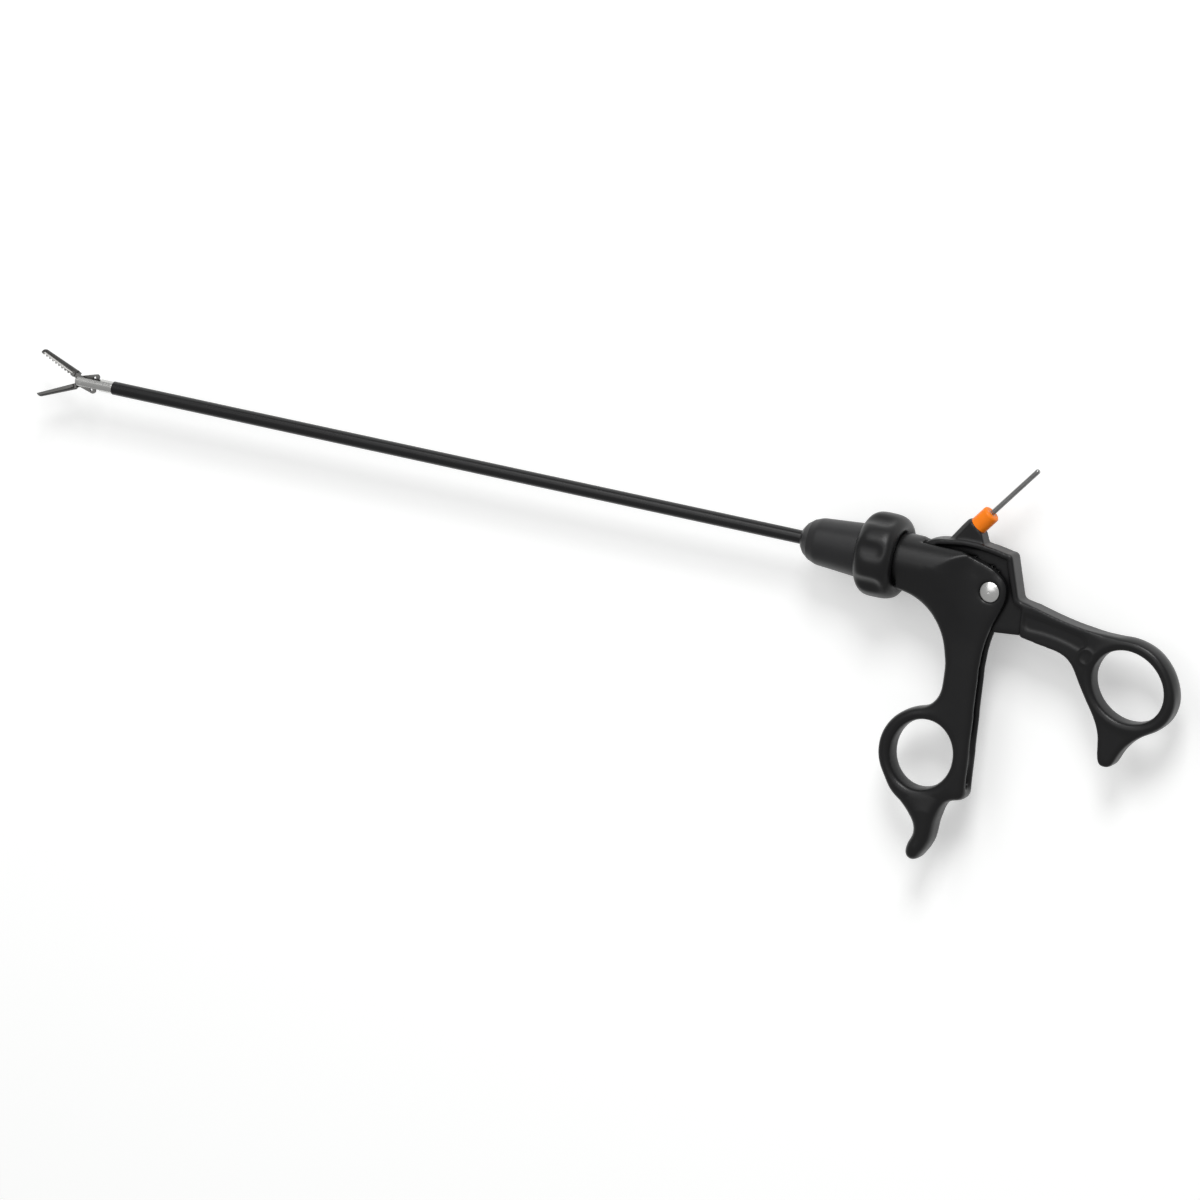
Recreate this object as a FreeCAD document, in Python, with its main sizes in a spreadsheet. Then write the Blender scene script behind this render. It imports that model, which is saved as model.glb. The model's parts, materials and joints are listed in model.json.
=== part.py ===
import FreeCAD, Part
import Sketcher
import math
import os

# Laparoscopic grasper, 5 mm, with a 310 mm shaft and an insulated ring handle.
# Frame in millimetres: the shaft axis is X, the jaws point to -X, the contact pin leans to +Y,
# and Z is the axis of the handle pivot. The origin is where the shaft leaves the nose cone.
# The lever and the jaws are drawn fully open.

V = FreeCAD.Vector
AXIS_X = V(1, 0, 0)
AXIS_Y = V(0, 1, 0)
AXIS_Z = V(0, 0, 1)
SLOT_STEPS = 12

# Driving dimensions: alias, value
SIZES = [
    # Shaft
    ("working_length", 310.0), ("sleeve_radius", 2.5), ("sleeve_wall", 0.3), ("tube_wall", 0.45),
    ("rod_radius", 0.85), ("running_gap", 0.05), ("liner_bore", 0.92), ("nose_gap", 0.2), ("tube_tail", 34.0),
    # Clevis and jaws
    ("jaw_length", 19.4), ("clevis_radius", 2.28), ("clevis_nose", 2.3), ("clevis_length", 15.4),
    ("clevis_slot_half", 1.5), ("clevis_slot_depth", 10.3), ("spigot_length", 6.0), ("spigot_bore", 1.1),
    ("jaw_pin_radius", 0.6), ("jaw_pin_half", 2.2), ("jaw_open_angle", 24.0), ("jaw_radius", 2.4),
    ("jaw_tip_radius", 1.75), ("jaw_root", 3.2), ("jaw_face_gap", 0.05), ("jaw_flat_half", 2.1),
    ("jaw_port_radius", 2.43),
    ("tooth_pitch", 1.5), ("tooth_depth", 0.5), ("tooth_start", 5.0), ("tang_inner", 0.55), ("tang_outer", 1.45),
    ("tang_hub_radius", 1.9), ("tang_tail", 5.9), ("tang_tail_radius", 1.1), ("tang_shoulder_radius", 0.95),
    ("cam_near", 3.2), ("rod_stroke", 2.0), ("cam_pin_radius", 0.5), ("cam_pin_half", 1.42),
    ("blade_half", 0.5), ("blade_radius", 0.95), ("socket_radius", 1.3), ("socket_length", 2.8),
    ("socket_setback", 7.6), ("pin_fit", 0.03),
    # Nose cone, knob and hub
    ("nose_tip_radius", 3.0), ("nose_dome_length", 6.9), ("nose_dome_radius", 8.5), ("nose_length", 23.8),
    ("nose_rear_radius", 9.9), ("nose_cavity_start", 4.0), ("knob_radius", 15.5), ("knob_base_radius", 10.0),
    ("knob_length", 15.4), ("knob_edge", 5.2), ("flute_count", 7), ("flute_radius", 5.0),
    ("flute_circle", 18.9), ("flute_angle", 15.0), ("flute_rear_wall", 2.6), ("recess_radius", 10.3),
    ("recess_depth", 1.7), ("hub_radius", 6.0), ("hub_front", 4.2), ("journal_radius", 4.0),
    ("journal_tail", 12.2), ("rod_passage", 1.2), ("seal_radius", 2.6), ("seal_length", 4.0),
    ("ring_groove_start", 9.4), ("ring_groove_width", 0.8), ("ring_groove_radius", 3.4), ("ring_radius", 5.0),
    ("oring_place", 4.7), ("oring_cord_radius", 0.5), ("bush_radius", 5.5), ("bush_tail", 9.0),
    ("bush_flange_radius", 7.5), ("bush_flange", 1.0), ("set_screw_setback", 5.2), ("set_screw_radius", 1.5),
    # Fixed handle
    ("barrel_gap", 0.3), ("barrel_radius", 9.75), ("pivot_place", 36.6), ("pivot_drop", 4.0),
    ("leg_half", 5.0), ("leg_front", 23.3), ("leg_rear", 36.6), ("heel_kick", 1.3), ("heel_below_ring", 11.7),
    ("channel_half", 2.1), ("channel_floor", 30.2), ("channel_below_ring", 9.2), ("slot_front", 28.6),
    ("slot_drop", 21.5),
    ("cheek_half", 5.3), ("crotch_radius", 10.0), ("finger_ring_place", 19.4), ("finger_ring_drop", 67.3),
    ("finger_hole_wide", 11.6), ("finger_hole_tall", 12.7), ("finger_ring_radius", 16.8),
    ("hook_tip_place", 21.1), ("hook_tip_below_ring", 36.1), ("hook_tip_radius", 2.3), ("leg_edge", 1.8),
    # Thumb lever
    ("lever_half", 4.3), ("web_half", 1.95), ("rim_width", 2.0), ("arm_step", 49.0), ("lever_travel", 28.0),
    ("thumb_ring_place", 92.0), ("thumb_ring_drop", 27.3), ("thumb_hole_long", 14.1), ("thumb_hole_short", 12.1),
    ("thumb_hole_tilt", -31.2), ("rim_slot_gap", 0.15), ("rim_slot_front", 7.6),
    ("panel_depth", 0.5), ("post_half", 3.3), ("pin_lean", 51.0), ("collar_place", 27.4), ("collar_rise", 17.7),
    ("collar_radius", 3.3), ("collar_length", 7.0), ("contact_radius", 0.95), ("contact_root_radius", 1.2),
    ("contact_reach", 31.0),
    ("contact_depth", 6.0), ("ball_radius", 1.6), ("fork_hub_radius", 4.1), ("fork_reach", 7.0),
    ("fork_wall", 1.7), ("fork_slit_half", 0.9), ("bush_wall", 0.42),
    # Pivot screw
    ("screw_radius", 1.5), ("screw_head_radius", 3.6), ("screw_pocket_radius", 3.9), ("screw_pocket_floor", 4.2),
    ("screw_head_rim", 0.7), ("screw_dome", 0.9), ("nut_overlap", 1.2),
]

doc = FreeCAD.newDocument("grasper")
sheet = doc.addObject("Spreadsheet::Sheet", "Sizes")
for row, (alias, number) in enumerate(SIZES, start=1):
    sheet.set("A%d" % row, alias)
    sheet.set("B%d" % row, str(number))
    sheet.setAlias("B%d" % row, alias)
doc.recompute()


# Front face of the barrel, just clear of the floor of the recess in the knob
BARREL_FRONT = "(#nose_length + #knob_length - #recess_depth + #barrel_gap)"


def size(alias):
    """Value of one cell of the sheet."""
    return float(sheet.get(alias))


def cell(text):
    """Expression text: each #name is a cell of the sheet, each ~name a place measured from the barrel's front."""
    text = text.replace("~", "BARREL_FRONT + #")
    return text.replace("BARREL_FRONT", BARREL_FRONT).replace("#", "Sizes.")


def barrel_front():
    """Place of the barrel's front face along the shaft."""
    return size("nose_length") + size("knob_length") - size("recess_depth") + size("barrel_gap")


def station(alias):
    """Place along the shaft of something that is measured from the barrel's front."""
    return barrel_front() + size(alias)


NODES = []


def keep(item, label):
    """Give a finished piece its label and list it for writing."""
    item.Label = label
    NODES.append(item)
    return item


def bind(item, **expressions):
    """Bind properties of an object to sheet expressions."""
    for name, text in expressions.items():
        item.setExpression(name.replace("__", "."), cell(text))
    return item


def plane_of(body, role):
    """One of a body's own origin planes."""
    return [feature for feature in body.Origin.OriginFeatures if feature.Role == role][0]


def profile_sketch(body, name, points, role="XY_Plane"):
    """Closed polygon sketch whose corners are bound to pairs of sheet expressions."""
    sketch = body.newObject("Sketcher::SketchObject", name)
    sketch.AttachmentSupport = [(plane_of(body, role), "")]
    sketch.MapMode = "FlatFace"
    places = [(evaluate(along), evaluate(out)) for along, out in points]
    count = len(points)
    for index in range(count):
        start = places[index]
        end = places[(index + 1) % count]
        sketch.addGeometry(Part.LineSegment(V(start[0], start[1], 0), V(end[0], end[1], 0)), False)
    for index in range(count):
        sketch.addConstraint(Sketcher.Constraint("Coincident", index, 2, (index + 1) % count, 1))
    for index, (along, out) in enumerate(points):
        pin_corner(sketch, index, "DistanceX", "along%d" % index, along, places[index][0])
        pin_corner(sketch, index, "DistanceY", "out%d" % index, out, places[index][1])
    return sketch


def evaluate(text):
    """Number that a sheet expression stands for now."""
    return float(sheet.evalExpression(cell(text)))


def pin_corner(sketch, index, kind, name, text, value):
    """Fix one coordinate of a corner by a named constraint, or by the axis where it is zero."""
    if abs(value) < 1e-9 and text.strip() == "0":
        axis = -2 if kind == "DistanceX" else -1
        sketch.addConstraint(Sketcher.Constraint("PointOnObject", index, 1, axis))
        return
    place = sketch.addConstraint(Sketcher.Constraint(kind, -1, 1, index, 1, value))
    sketch.renameConstraint(place, name)
    sketch.setExpression("Constraints." + name, cell(text))


def turned(label, points, finished=True):
    """Body turned about the shaft axis from a half profile of (along, radius) expressions."""
    body = doc.addObject("PartDesign::Body", label)
    sketch = profile_sketch(body, label + "_profile", points)
    turn = body.newObject("PartDesign::Revolution", label + "_turn")
    turn.Profile = sketch
    turn.ReferenceAxis = (sketch, ["H_Axis"])
    turn.Angle = 360
    doc.recompute()
    return keep(body, label) if finished else body


def edges_where(feature, test):
    """Names of the edges of a feature's shape that pass a test."""
    return ["Edge%d" % (index + 1) for index, edge in enumerate(feature.Shape.Edges) if test(edge)]


def ring_edge(along, radius):
    """Test for a full circle about the shaft axis at a place and radius."""
    def test(edge):
        curve = edge.Curve
        return (isinstance(curve, Part.Circle) and abs(curve.Radius - radius) < 1e-4
                and abs(curve.Center.x - along) < 1e-4 and abs(curve.Axis.x) > 0.999)
    return test


def rounded(body, along, radius, amount):
    """Round one circular edge of a turned body; place, radius and amount are expressions."""
    base = body.Tip
    fillet = body.newObject("PartDesign::Fillet", body.Name + "_round%d" % len(body.Group))
    fillet.Base = (base, edges_where(base, ring_edge(evaluate(along), evaluate(radius))))
    bind(fillet, Radius=amount)
    doc.recompute()
    return fillet


def ring_points(start, end, inner, outer):
    """Half profile of a plain ring or tube."""
    return [(start, inner), (end, inner), (end, outer), (start, outer)]


# Places along the shaft, as expressions
JAW_PIVOT = "(#jaw_length - #working_length)"
SLEEVE_END = "(#jaw_length - #working_length - #clevis_nose + #clevis_length)"
TUBE_RADIUS = "(#sleeve_radius - #sleeve_wall)"
TUBE_BORE = "(#sleeve_radius - #sleeve_wall - #tube_wall)"
KNOB_REAR = "(#nose_length + #knob_length)"
HUB_REAR = "(BARREL_FRONT - 0.1)"
CAM_PIN = "(#jaw_length - #working_length + #cam_near)"
LINER_START = SLEEVE_END + " + #spigot_length + 0.4"
SOCKET_FRONT = JAW_PIVOT + " + #socket_setback"
BALL_X = "(~pivot_place - #pivot_drop * tan(#lever_travel / 2))"


def shaft_group():
    """Tube, insulation and lining of the shaft."""
    turned("outer_tube", ring_points(SLEEVE_END, "#tube_tail", TUBE_BORE, TUBE_RADIUS))
    sleeve = turned("insulation_sleeve", ring_points(SLEEVE_END, "0", TUBE_RADIUS, "#sleeve_radius"))
    rounded(sleeve, SLEEVE_END, "#sleeve_radius", "#sleeve_wall * 0.8")
    turned("rod_liner", ring_points(LINER_START, "#tube_tail - 0.4", "#liner_bore", TUBE_BORE + " - 0.02"))


def nose_group():
    """Nose cone, knob and the hub that carries them on the tube."""
    nose = turned("nose_cone", [
        ("#nose_gap", TUBE_RADIUS), ("#nose_cavity_start", TUBE_RADIUS),
        ("#nose_cavity_start", "#hub_radius + #running_gap"), ("#nose_length", "#hub_radius + #running_gap"),
        ("#nose_length", "#nose_rear_radius"), ("#nose_dome_length", "#nose_dome_radius"),
        ("#nose_dome_length * 0.58", "#nose_tip_radius + (#nose_dome_radius - #nose_tip_radius) * 0.8"),
        ("#nose_dome_length * 0.26", "#nose_tip_radius + (#nose_dome_radius - #nose_tip_radius) * 0.51"),
        ("#nose_dome_length * 0.06", "#nose_tip_radius + (#nose_dome_radius - #nose_tip_radius) * 0.18"),
        ("#nose_gap", "#nose_tip_radius")])
    rounded(nose, "#nose_dome_length", "#nose_dome_radius", "#nose_dome_length * 0.8")
    knob_group()
    hub = turned("knob_hub", [
        ("#hub_front", TUBE_RADIUS), ("#tube_tail", TUBE_RADIUS), ("#tube_tail", "#rod_passage"),
        ("~journal_tail - #seal_length", "#rod_passage"), ("~journal_tail - #seal_length", "#seal_radius"),
        ("~journal_tail", "#seal_radius"), ("~journal_tail", "#journal_radius"),
        ("~ring_groove_start + #ring_groove_width", "#journal_radius"),
        ("~ring_groove_start + #ring_groove_width", "#ring_groove_radius"),
        ("~ring_groove_start", "#ring_groove_radius"), ("~ring_groove_start", "#journal_radius"),
        ("~oring_place + #oring_cord_radius + 0.1", "#journal_radius"),
        ("~oring_place + #oring_cord_radius + 0.1", "#journal_radius - 2 * #oring_cord_radius"),
        ("~oring_place - #oring_cord_radius - 0.1", "#journal_radius - 2 * #oring_cord_radius"),
        ("~oring_place - #oring_cord_radius - 0.1", "#journal_radius"), (HUB_REAR, "#journal_radius"),
        (HUB_REAR, "#hub_radius"), ("#hub_front", "#hub_radius")])
    body_hole(hub, "hub_screw_hole")
    set_screw = doc.addObject("Part::Cylinder", "set_screw_rod")
    bind(set_screw, Radius="#set_screw_radius", Height="#hub_radius - " + TUBE_RADIUS + " - 0.2",
         Placement__Base__x="#nose_length + #set_screw_setback", Placement__Base__y=TUBE_RADIUS)
    set_screw.Placement.Rotation = FreeCAD.Rotation(AXIS_X, -90)
    socket = doc.addObject("Part::Prism", "set_screw_hex")
    bind(socket, Circumradius="#set_screw_radius * 0.55", Height="#set_screw_radius",
         Placement__Base__x="#nose_length + #set_screw_setback",
         Placement__Base__y="#hub_radius - 0.2 - #set_screw_radius")
    socket.Placement.Rotation = FreeCAD.Rotation(AXIS_X, -90)
    cut = doc.addObject("Part::Cut", "set_screw_cut")
    cut.Base = set_screw
    cut.Tool = socket
    doc.recompute()
    keep(cut, "knob_set_screw")
    ring = turned("retaining_ring_blank", ring_points(
        "~ring_groove_start + 0.02", "~ring_groove_start + #ring_groove_width - 0.02",
        "#ring_groove_radius", "#ring_radius"), finished=False)
    gap = doc.addObject("Part::Box", "hub_retaining_ring_gap")
    bind(gap, Length="#ring_groove_width * 3", Width="#ring_groove_radius * 1.1", Height="#ring_radius * 2",
         Placement__Base__x="~ring_groove_start - #ring_groove_width",
         Placement__Base__y="-#ring_groove_radius * 0.55", Placement__Base__z="0")
    open_ring = doc.addObject("Part::Cut", "hub_retaining_ring_cut")
    open_ring.Base = ring
    open_ring.Tool = gap
    doc.recompute()
    keep(open_ring, "hub_retaining_ring")
    oring = doc.addObject("Part::Torus", "hub_o_ring")
    bind(oring, Radius1="#journal_radius - #oring_cord_radius - 0.01", Radius2="#oring_cord_radius",
         Placement__Base__x="~oring_place")
    oring.Placement.Rotation = FreeCAD.Rotation(AXIS_Y, 90)
    keep(oring, "hub_o_ring")
    turned("rod_seal", ring_points("~journal_tail - #seal_length", "~journal_tail", "#rod_radius + 0.02",
                                   "#seal_radius"))
    bush = "BARREL_FRONT"
    turned("journal_bush", [
        (bush, "#journal_radius + #running_gap"), ("~bush_tail", "#journal_radius + #running_gap"),
        ("~bush_tail", "#bush_radius"), (bush + " + #bush_flange", "#bush_radius"),
        (bush + " + #bush_flange", "#bush_flange_radius"), (bush, "#bush_flange_radius")])


def body_hole(body, name):
    """Radial screw hole through the upper wall of the hub."""
    sketch = body.newObject("Sketcher::SketchObject", name + "_circle")
    sketch.AttachmentSupport = [(plane_of(body, "XZ_Plane"), "")]
    sketch.MapMode = "FlatFace"
    along = size("nose_length") + size("set_screw_setback")
    sketch.addGeometry(Part.Circle(V(along, 0, 0), AXIS_Z, size("set_screw_radius")), False)
    sketch.addConstraint(Sketcher.Constraint("PointOnObject", 0, 3, -1))
    place = sketch.addConstraint(Sketcher.Constraint("DistanceX", -1, 1, 0, 3, along))
    sketch.renameConstraint(place, "place")
    sketch.setExpression("Constraints.place", cell("#nose_length + #set_screw_setback"))
    width = sketch.addConstraint(Sketcher.Constraint("Radius", 0, size("set_screw_radius")))
    sketch.renameConstraint(width, "width")
    sketch.setExpression("Constraints.width", cell("#set_screw_radius"))
    before = body.Shape.Volume
    for way in (False, True):
        pocket = body.newObject("PartDesign::Pocket", name)
        pocket.Profile = sketch
        pocket.Reversed = way
        bind(pocket, Length="#hub_radius * 1.5")
        doc.recompute()
        place = V(size("nose_length") + size("set_screw_setback"), 0, 0)
        upper = body.Shape.common(Part.makeCylinder(0.2, size("hub_radius"), place, AXIS_Y))
        if body.Shape.Volume < before - 1e-3 and upper.Volume < 1e-6:
            return pocket
        body.removeObject(pocket)
        doc.removeObject(pocket.Name)
        doc.recompute()
    raise RuntimeError("the screw hole cuts nothing")


def knob_group():
    """Fluted rotation knob with a rounded rim and closed flute ends."""
    knob = turned("knob_blank", [
        ("#nose_length", "#hub_radius"), (HUB_REAR, "#hub_radius"), (KNOB_REAR + " - #recess_depth", "#hub_radius"),
        (KNOB_REAR + " - #recess_depth", "#recess_radius"), (KNOB_REAR, "#recess_radius"),
        (KNOB_REAR, "#recess_radius + 0.8"), (KNOB_REAR + " - 0.5", "#knob_radius"),
        ("#nose_length + 0.5", "#knob_radius"), ("#nose_length", "#knob_base_radius")], finished=False)
    rounded(knob, KNOB_REAR + " - 0.5", "#knob_radius", "#knob_edge * 0.9")
    rounded(knob, "#nose_length + 0.5", "#knob_radius", "#knob_edge")
    flutes = []
    for index in range(int(size("flute_count"))):
        turn_text = "#flute_angle + %d * 360 / #flute_count" % index
        flute = doc.addObject("Part::Cylinder", "flute_%d" % index)
        bind(flute, Radius="#flute_radius", Height="#knob_length - #flute_rear_wall + 2",
             Placement__Base__x="#nose_length - 2",
             Placement__Base__y="#flute_circle * sin(%s)" % turn_text,
             Placement__Base__z="#flute_circle * cos(%s)" % turn_text)
        flute.Placement.Rotation = FreeCAD.Rotation(AXIS_Y, 90)
        flutes.append(flute)
    doc.recompute()
    tools = []
    for flute in flutes:
        soft = doc.addObject("Part::Fillet", flute.Name + "_soft")
        soft.Base = flute
        far = size("nose_length") + size("knob_length") - size("flute_rear_wall")
        ends = [index + 1 for index, edge in enumerate(flute.Shape.Edges)
                if isinstance(edge.Curve, Part.Circle) and abs(edge.CenterOfMass.x - far) < 1e-3]
        soft.Edges = [(index, size("flute_radius") * 0.5, size("flute_radius") * 0.5) for index in ends]
        tools.append(soft)
    fused = doc.addObject("Part::MultiFuse", "flutes")
    fused.Shapes = tools
    cut = doc.addObject("Part::Cut", "knob_fluted")
    cut.Base = knob
    cut.Tool = fused
    doc.recompute()
    keep(cut, "rotation_knob")
    return cut


def clevis_group():
    """Forked steel end of the shaft and the pin that the jaws turn on."""
    front = JAW_PIVOT + " - #clevis_nose"
    body = turned("clevis_blank", [
        (front, "0"), (SLEEVE_END + " - 0.4", "0"), (SLEEVE_END + " - 0.4", "#spigot_bore"),
        (SLEEVE_END + " + #spigot_length", "#spigot_bore"), (SLEEVE_END + " + #spigot_length", TUBE_BORE),
        (SLEEVE_END, TUBE_BORE), (SLEEVE_END, "#clevis_radius"), (front, "#clevis_radius")], finished=False)
    rounded(body, front, "#clevis_radius", "#clevis_radius * 0.42")
    rounded(body, SLEEVE_END, "#clevis_radius", "0.15")
    slot = doc.addObject("Part::Box", "clevis_slot")
    bind(slot, Length="#clevis_slot_depth + 2", Width="#clevis_radius * 4", Height="#clevis_slot_half * 2",
         Placement__Base__x=front + " - 2", Placement__Base__y="-#clevis_radius * 2",
         Placement__Base__z="-#clevis_slot_half")
    chamber = doc.addObject("Part::Cylinder", "clevis_chamber")
    bind(chamber, Radius="#socket_radius + 0.12", Height="#clevis_length - #clevis_slot_depth",
         Placement__Base__x=front + " + #clevis_slot_depth - 0.4")
    chamber.Placement.Rotation = FreeCAD.Rotation(AXIS_Y, 90)
    hole = doc.addObject("Part::Cylinder", "clevis_pin_hole")
    bind(hole, Radius="#jaw_pin_radius", Height="#clevis_radius * 4", Placement__Base__x=JAW_PIVOT,
         Placement__Base__z="-#clevis_radius * 2")
    tools = doc.addObject("Part::MultiFuse", "clevis_tools")
    tools.Shapes = [slot, chamber, hole]
    cut = doc.addObject("Part::Cut", "clevis_cut")
    cut.Base = body
    cut.Tool = tools
    doc.recompute()
    keep(cut, "clevis")
    pin = doc.addObject("Part::Cylinder", "jaw_pivot_pin_rod")
    bind(pin, Radius="#jaw_pin_radius", Height="#jaw_pin_half * 2", Placement__Base__x=JAW_PIVOT,
         Placement__Base__z="-#jaw_pin_half")
    doc.recompute()
    keep(pin, "jaw_pivot_pin")


def rod_group():
    """Pull rod with its ball, the flat blade at its far end and the pin that drives the jaws."""
    socket_rear = "(" + SOCKET_FRONT + " + #socket_length)"
    turned("pull_rod", [(SOCKET_FRONT + " + #socket_length * 0.4", "0"), (BALL_X, "0"), (BALL_X, "#rod_radius"),
                        (SOCKET_FRONT + " + #socket_length * 0.4", "#rod_radius")])
    ball = doc.addObject("Part::Sphere", "rod_ball_sphere")
    bind(ball, Radius="#ball_radius", Placement__Base__x=BALL_X)
    stem = doc.addObject("Part::Cylinder", "rod_ball_stem")
    bind(stem, Radius="#rod_radius", Height="#ball_radius * 2", Placement__Base__x=BALL_X + " - #ball_radius * 2")
    stem.Placement.Rotation = FreeCAD.Rotation(AXIS_Y, 90)
    cut = doc.addObject("Part::Cut", "rod_ball_cut")
    cut.Base = ball
    cut.Tool = stem
    doc.recompute()
    keep(cut, "rod_ball")
    socket = doc.addObject("Part::Cylinder", "blade_socket")
    bind(socket, Radius="#socket_radius", Height="#socket_length", Placement__Base__x=SOCKET_FRONT)
    socket.Placement.Rotation = FreeCAD.Rotation(AXIS_Y, 90)
    blade = doc.addObject("Part::Box", "blade_plate")
    bind(blade, Length="#socket_setback - #cam_near + 0.2", Width="#blade_radius * 2", Height="#blade_half * 2",
         Placement__Base__x=CAM_PIN, Placement__Base__y="-#blade_radius", Placement__Base__z="-#blade_half")
    nose = doc.addObject("Part::Cylinder", "blade_nose")
    bind(nose, Radius="#blade_radius", Height="#blade_half * 2", Placement__Base__x=CAM_PIN,
         Placement__Base__z="-#blade_half")
    fused = doc.addObject("Part::MultiFuse", "blade_blank")
    fused.Shapes = [socket, blade, nose]
    bore = doc.addObject("Part::Cylinder", "blade_bore")
    bind(bore, Radius="#rod_radius", Height="#socket_length",
         Placement__Base__x=SOCKET_FRONT + " + #socket_length * 0.4")
    bore.Placement.Rotation = FreeCAD.Rotation(AXIS_Y, 90)
    hole = doc.addObject("Part::Cylinder", "blade_pin_hole")
    bind(hole, Radius="#cam_pin_radius", Height="#blade_half * 4", Placement__Base__x=CAM_PIN,
         Placement__Base__z="-#blade_half * 2")
    tools = doc.addObject("Part::MultiFuse", "blade_tools")
    tools.Shapes = [bore, hole]
    blade_cut = doc.addObject("Part::Cut", "drive_blade_cut")
    blade_cut.Base = fused
    blade_cut.Tool = tools
    doc.recompute()
    keep(blade_cut, "drive_blade")
    pin = doc.addObject("Part::Cylinder", "drive_pin_rod")
    bind(pin, Radius="#cam_pin_radius", Height="#cam_pin_half * 2", Placement__Base__x=CAM_PIN,
         Placement__Base__z="-#cam_pin_half")
    doc.recompute()
    keep(pin, "drive_pin")


def prism(points, low, high):
    """Solid between two heights on a closed outline of points."""
    wire = Part.makePolygon([V(x, y, low) for x, y in points] + [V(points[0][0], points[0][1], low)])
    return Part.Face(wire).extrude(V(0, 0, high - low))


def disc(x, y, radius, low, high):
    """Upright cylinder."""
    return Part.makeCylinder(radius, high - low, V(x, y, low), AXIS_Z)


def hull_of_discs(discs, low, high):
    """Plate whose edge is the belt around discs (x, y, radius), listed anticlockwise."""
    solid = None
    for index, (x1, y1, r1) in enumerate(discs):
        x2, y2, r2 = discs[(index + 1) % len(discs)]
        reach = math.hypot(x2 - x1, y2 - y1)
        lean = math.atan2(y2 - y1, x2 - x1)
        off = lean - math.pi / 2 + math.asin((r1 - r2) / reach)
        side = V(math.cos(off), math.sin(off), 0)
        corners = [(x1, y1), (x1 + r1 * side.x, y1 + r1 * side.y), (x2 + r2 * side.x, y2 + r2 * side.y), (x2, y2)]
        piece = prism(corners, low, high).fuse(disc(x1, y1, r1, low, high))
        solid = piece if solid is None else solid.fuse(piece)
    middle = prism([(x, y) for x, y, _ in discs], low, high)
    return solid.fuse(middle).removeSplitter()


def cam_slot(low, high):
    """Spiral slot of a tang: the jaw angle grows evenly with the travel of the drive pin."""
    near = size("cam_near")
    stroke = size("rod_stroke")
    opening = math.radians(size("jaw_open_angle"))
    radius = size("cam_pin_radius") + size("pin_fit")

    def place(share):
        reach = near + stroke * (1 - share)
        angle = opening * share
        return V(reach * math.cos(angle), reach * math.sin(angle), low)

    centres = [place(step / SLOT_STEPS) for step in range(-1, SLOT_STEPS + 2)]
    left = []
    right = []
    for index in range(1, len(centres) - 1):
        along = (centres[index + 1] - centres[index - 1]).normalize()
        side = V(-along.y, along.x, 0) * radius
        left.append(centres[index] + side)
        right.append(centres[index] - side)
    edges = []
    for row in (left, right):
        curve = Part.BSplineCurve()
        curve.interpolate(row)
        edges.append(curve.toShape())
    back = centres[1] * 2 - (left[0] + right[0]) * 0.5 - (centres[2] - centres[1]).normalize() * radius
    start = Part.Arc(left[0], back, right[0]).toShape()
    front = centres[-2] + (centres[-2] - centres[-3]).normalize() * radius
    finish = Part.Arc(left[-1], front, right[-1]).toShape()
    wire = Part.Wire(Part.__sortEdges__([edges[0], finish, edges[1], start]))
    return Part.Face(wire).extrude(V(0, 0, high - low))


def jaw_shape():
    """Upper jaw, closed, with the pivot at the origin and the tip towards -X."""
    length = size("jaw_length")
    root = size("jaw_root")
    radius = size("jaw_radius")
    tip = size("jaw_tip_radius")
    gap = size("jaw_face_gap")
    shaft = V(-length + tip, 0, 0)
    edge = [V(-root, 0, 0), V(-root, radius, 0), V(-length + tip, tip, 0), V(-length, 0, 0)]
    arc = Part.Arc(edge[2], shaft + V(-tip, tip, 0).normalize() * tip, edge[3]).toShape()
    lines = [Part.makeLine(edge[3], edge[0]), Part.makeLine(edge[0], edge[1])]
    lines += [Part.makeLine(edge[1], edge[2]), arc]
    blank = Part.Face(Part.Wire(lines)).revolve(V(0, 0, 0), AXIS_X, 360)
    half = blank.common(Part.makeBox(length * 2, radius * 2, radius * 4, V(-length * 2, gap, -radius * 2)))
    flat = size("jaw_flat_half")
    for side in (1, -1):
        low = flat if side > 0 else -radius * 2
        half = half.cut(Part.makeBox(length * 2, gap + radius * 0.42, radius * 2 - flat, V(-length * 2, 0, low)))
    pitch = size("tooth_pitch")
    depth = size("tooth_depth")
    place = size("tooth_start")
    notches = []
    while place < length - tip * 0.8:
        corners = [(-place - pitch * 0.42, 0), (-place + pitch * 0.42, 0), (-place + pitch * 0.12, gap + depth),
                   (-place - pitch * 0.12, gap + depth)]
        notches.append(prism(corners, -radius * 2, radius * 2))
        place += pitch
    half = half.cut(Part.makeCompound(notches))
    inner = size("tang_inner")
    outer = size("tang_outer")
    hub = size("tang_hub_radius")
    opening = math.radians(size("jaw_open_angle"))
    near = size("cam_near")
    tang = hull_of_discs([
        (0, 0, hub), (size("tang_tail"), 0, size("tang_tail_radius")),
        (near * math.cos(opening), near * math.sin(opening), size("tang_shoulder_radius"))], inner, outer)
    neck_length = root + 1.2
    neck = Part.makeBox(neck_length, hub - gap, outer - inner, V(-neck_length, gap, inner))
    thick = Part.makeBox(neck_length - hub - 0.25, hub - gap, outer * 2, V(-neck_length, gap, -outer))
    shape = half.fuse([tang, neck, thick]).removeSplitter()
    port = Part.makeCylinder(size("jaw_port_radius"), length * 2, V(-length * 1.5, 0, 0), AXIS_X)
    shape = shape.common(port)
    shape = shape.cut(disc(0, 0, size("jaw_pin_radius") + size("pin_fit"), -outer * 2, outer * 2))
    return shape.cut(cam_slot(inner - 0.1, outer + 0.1)).removeSplitter()


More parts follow.
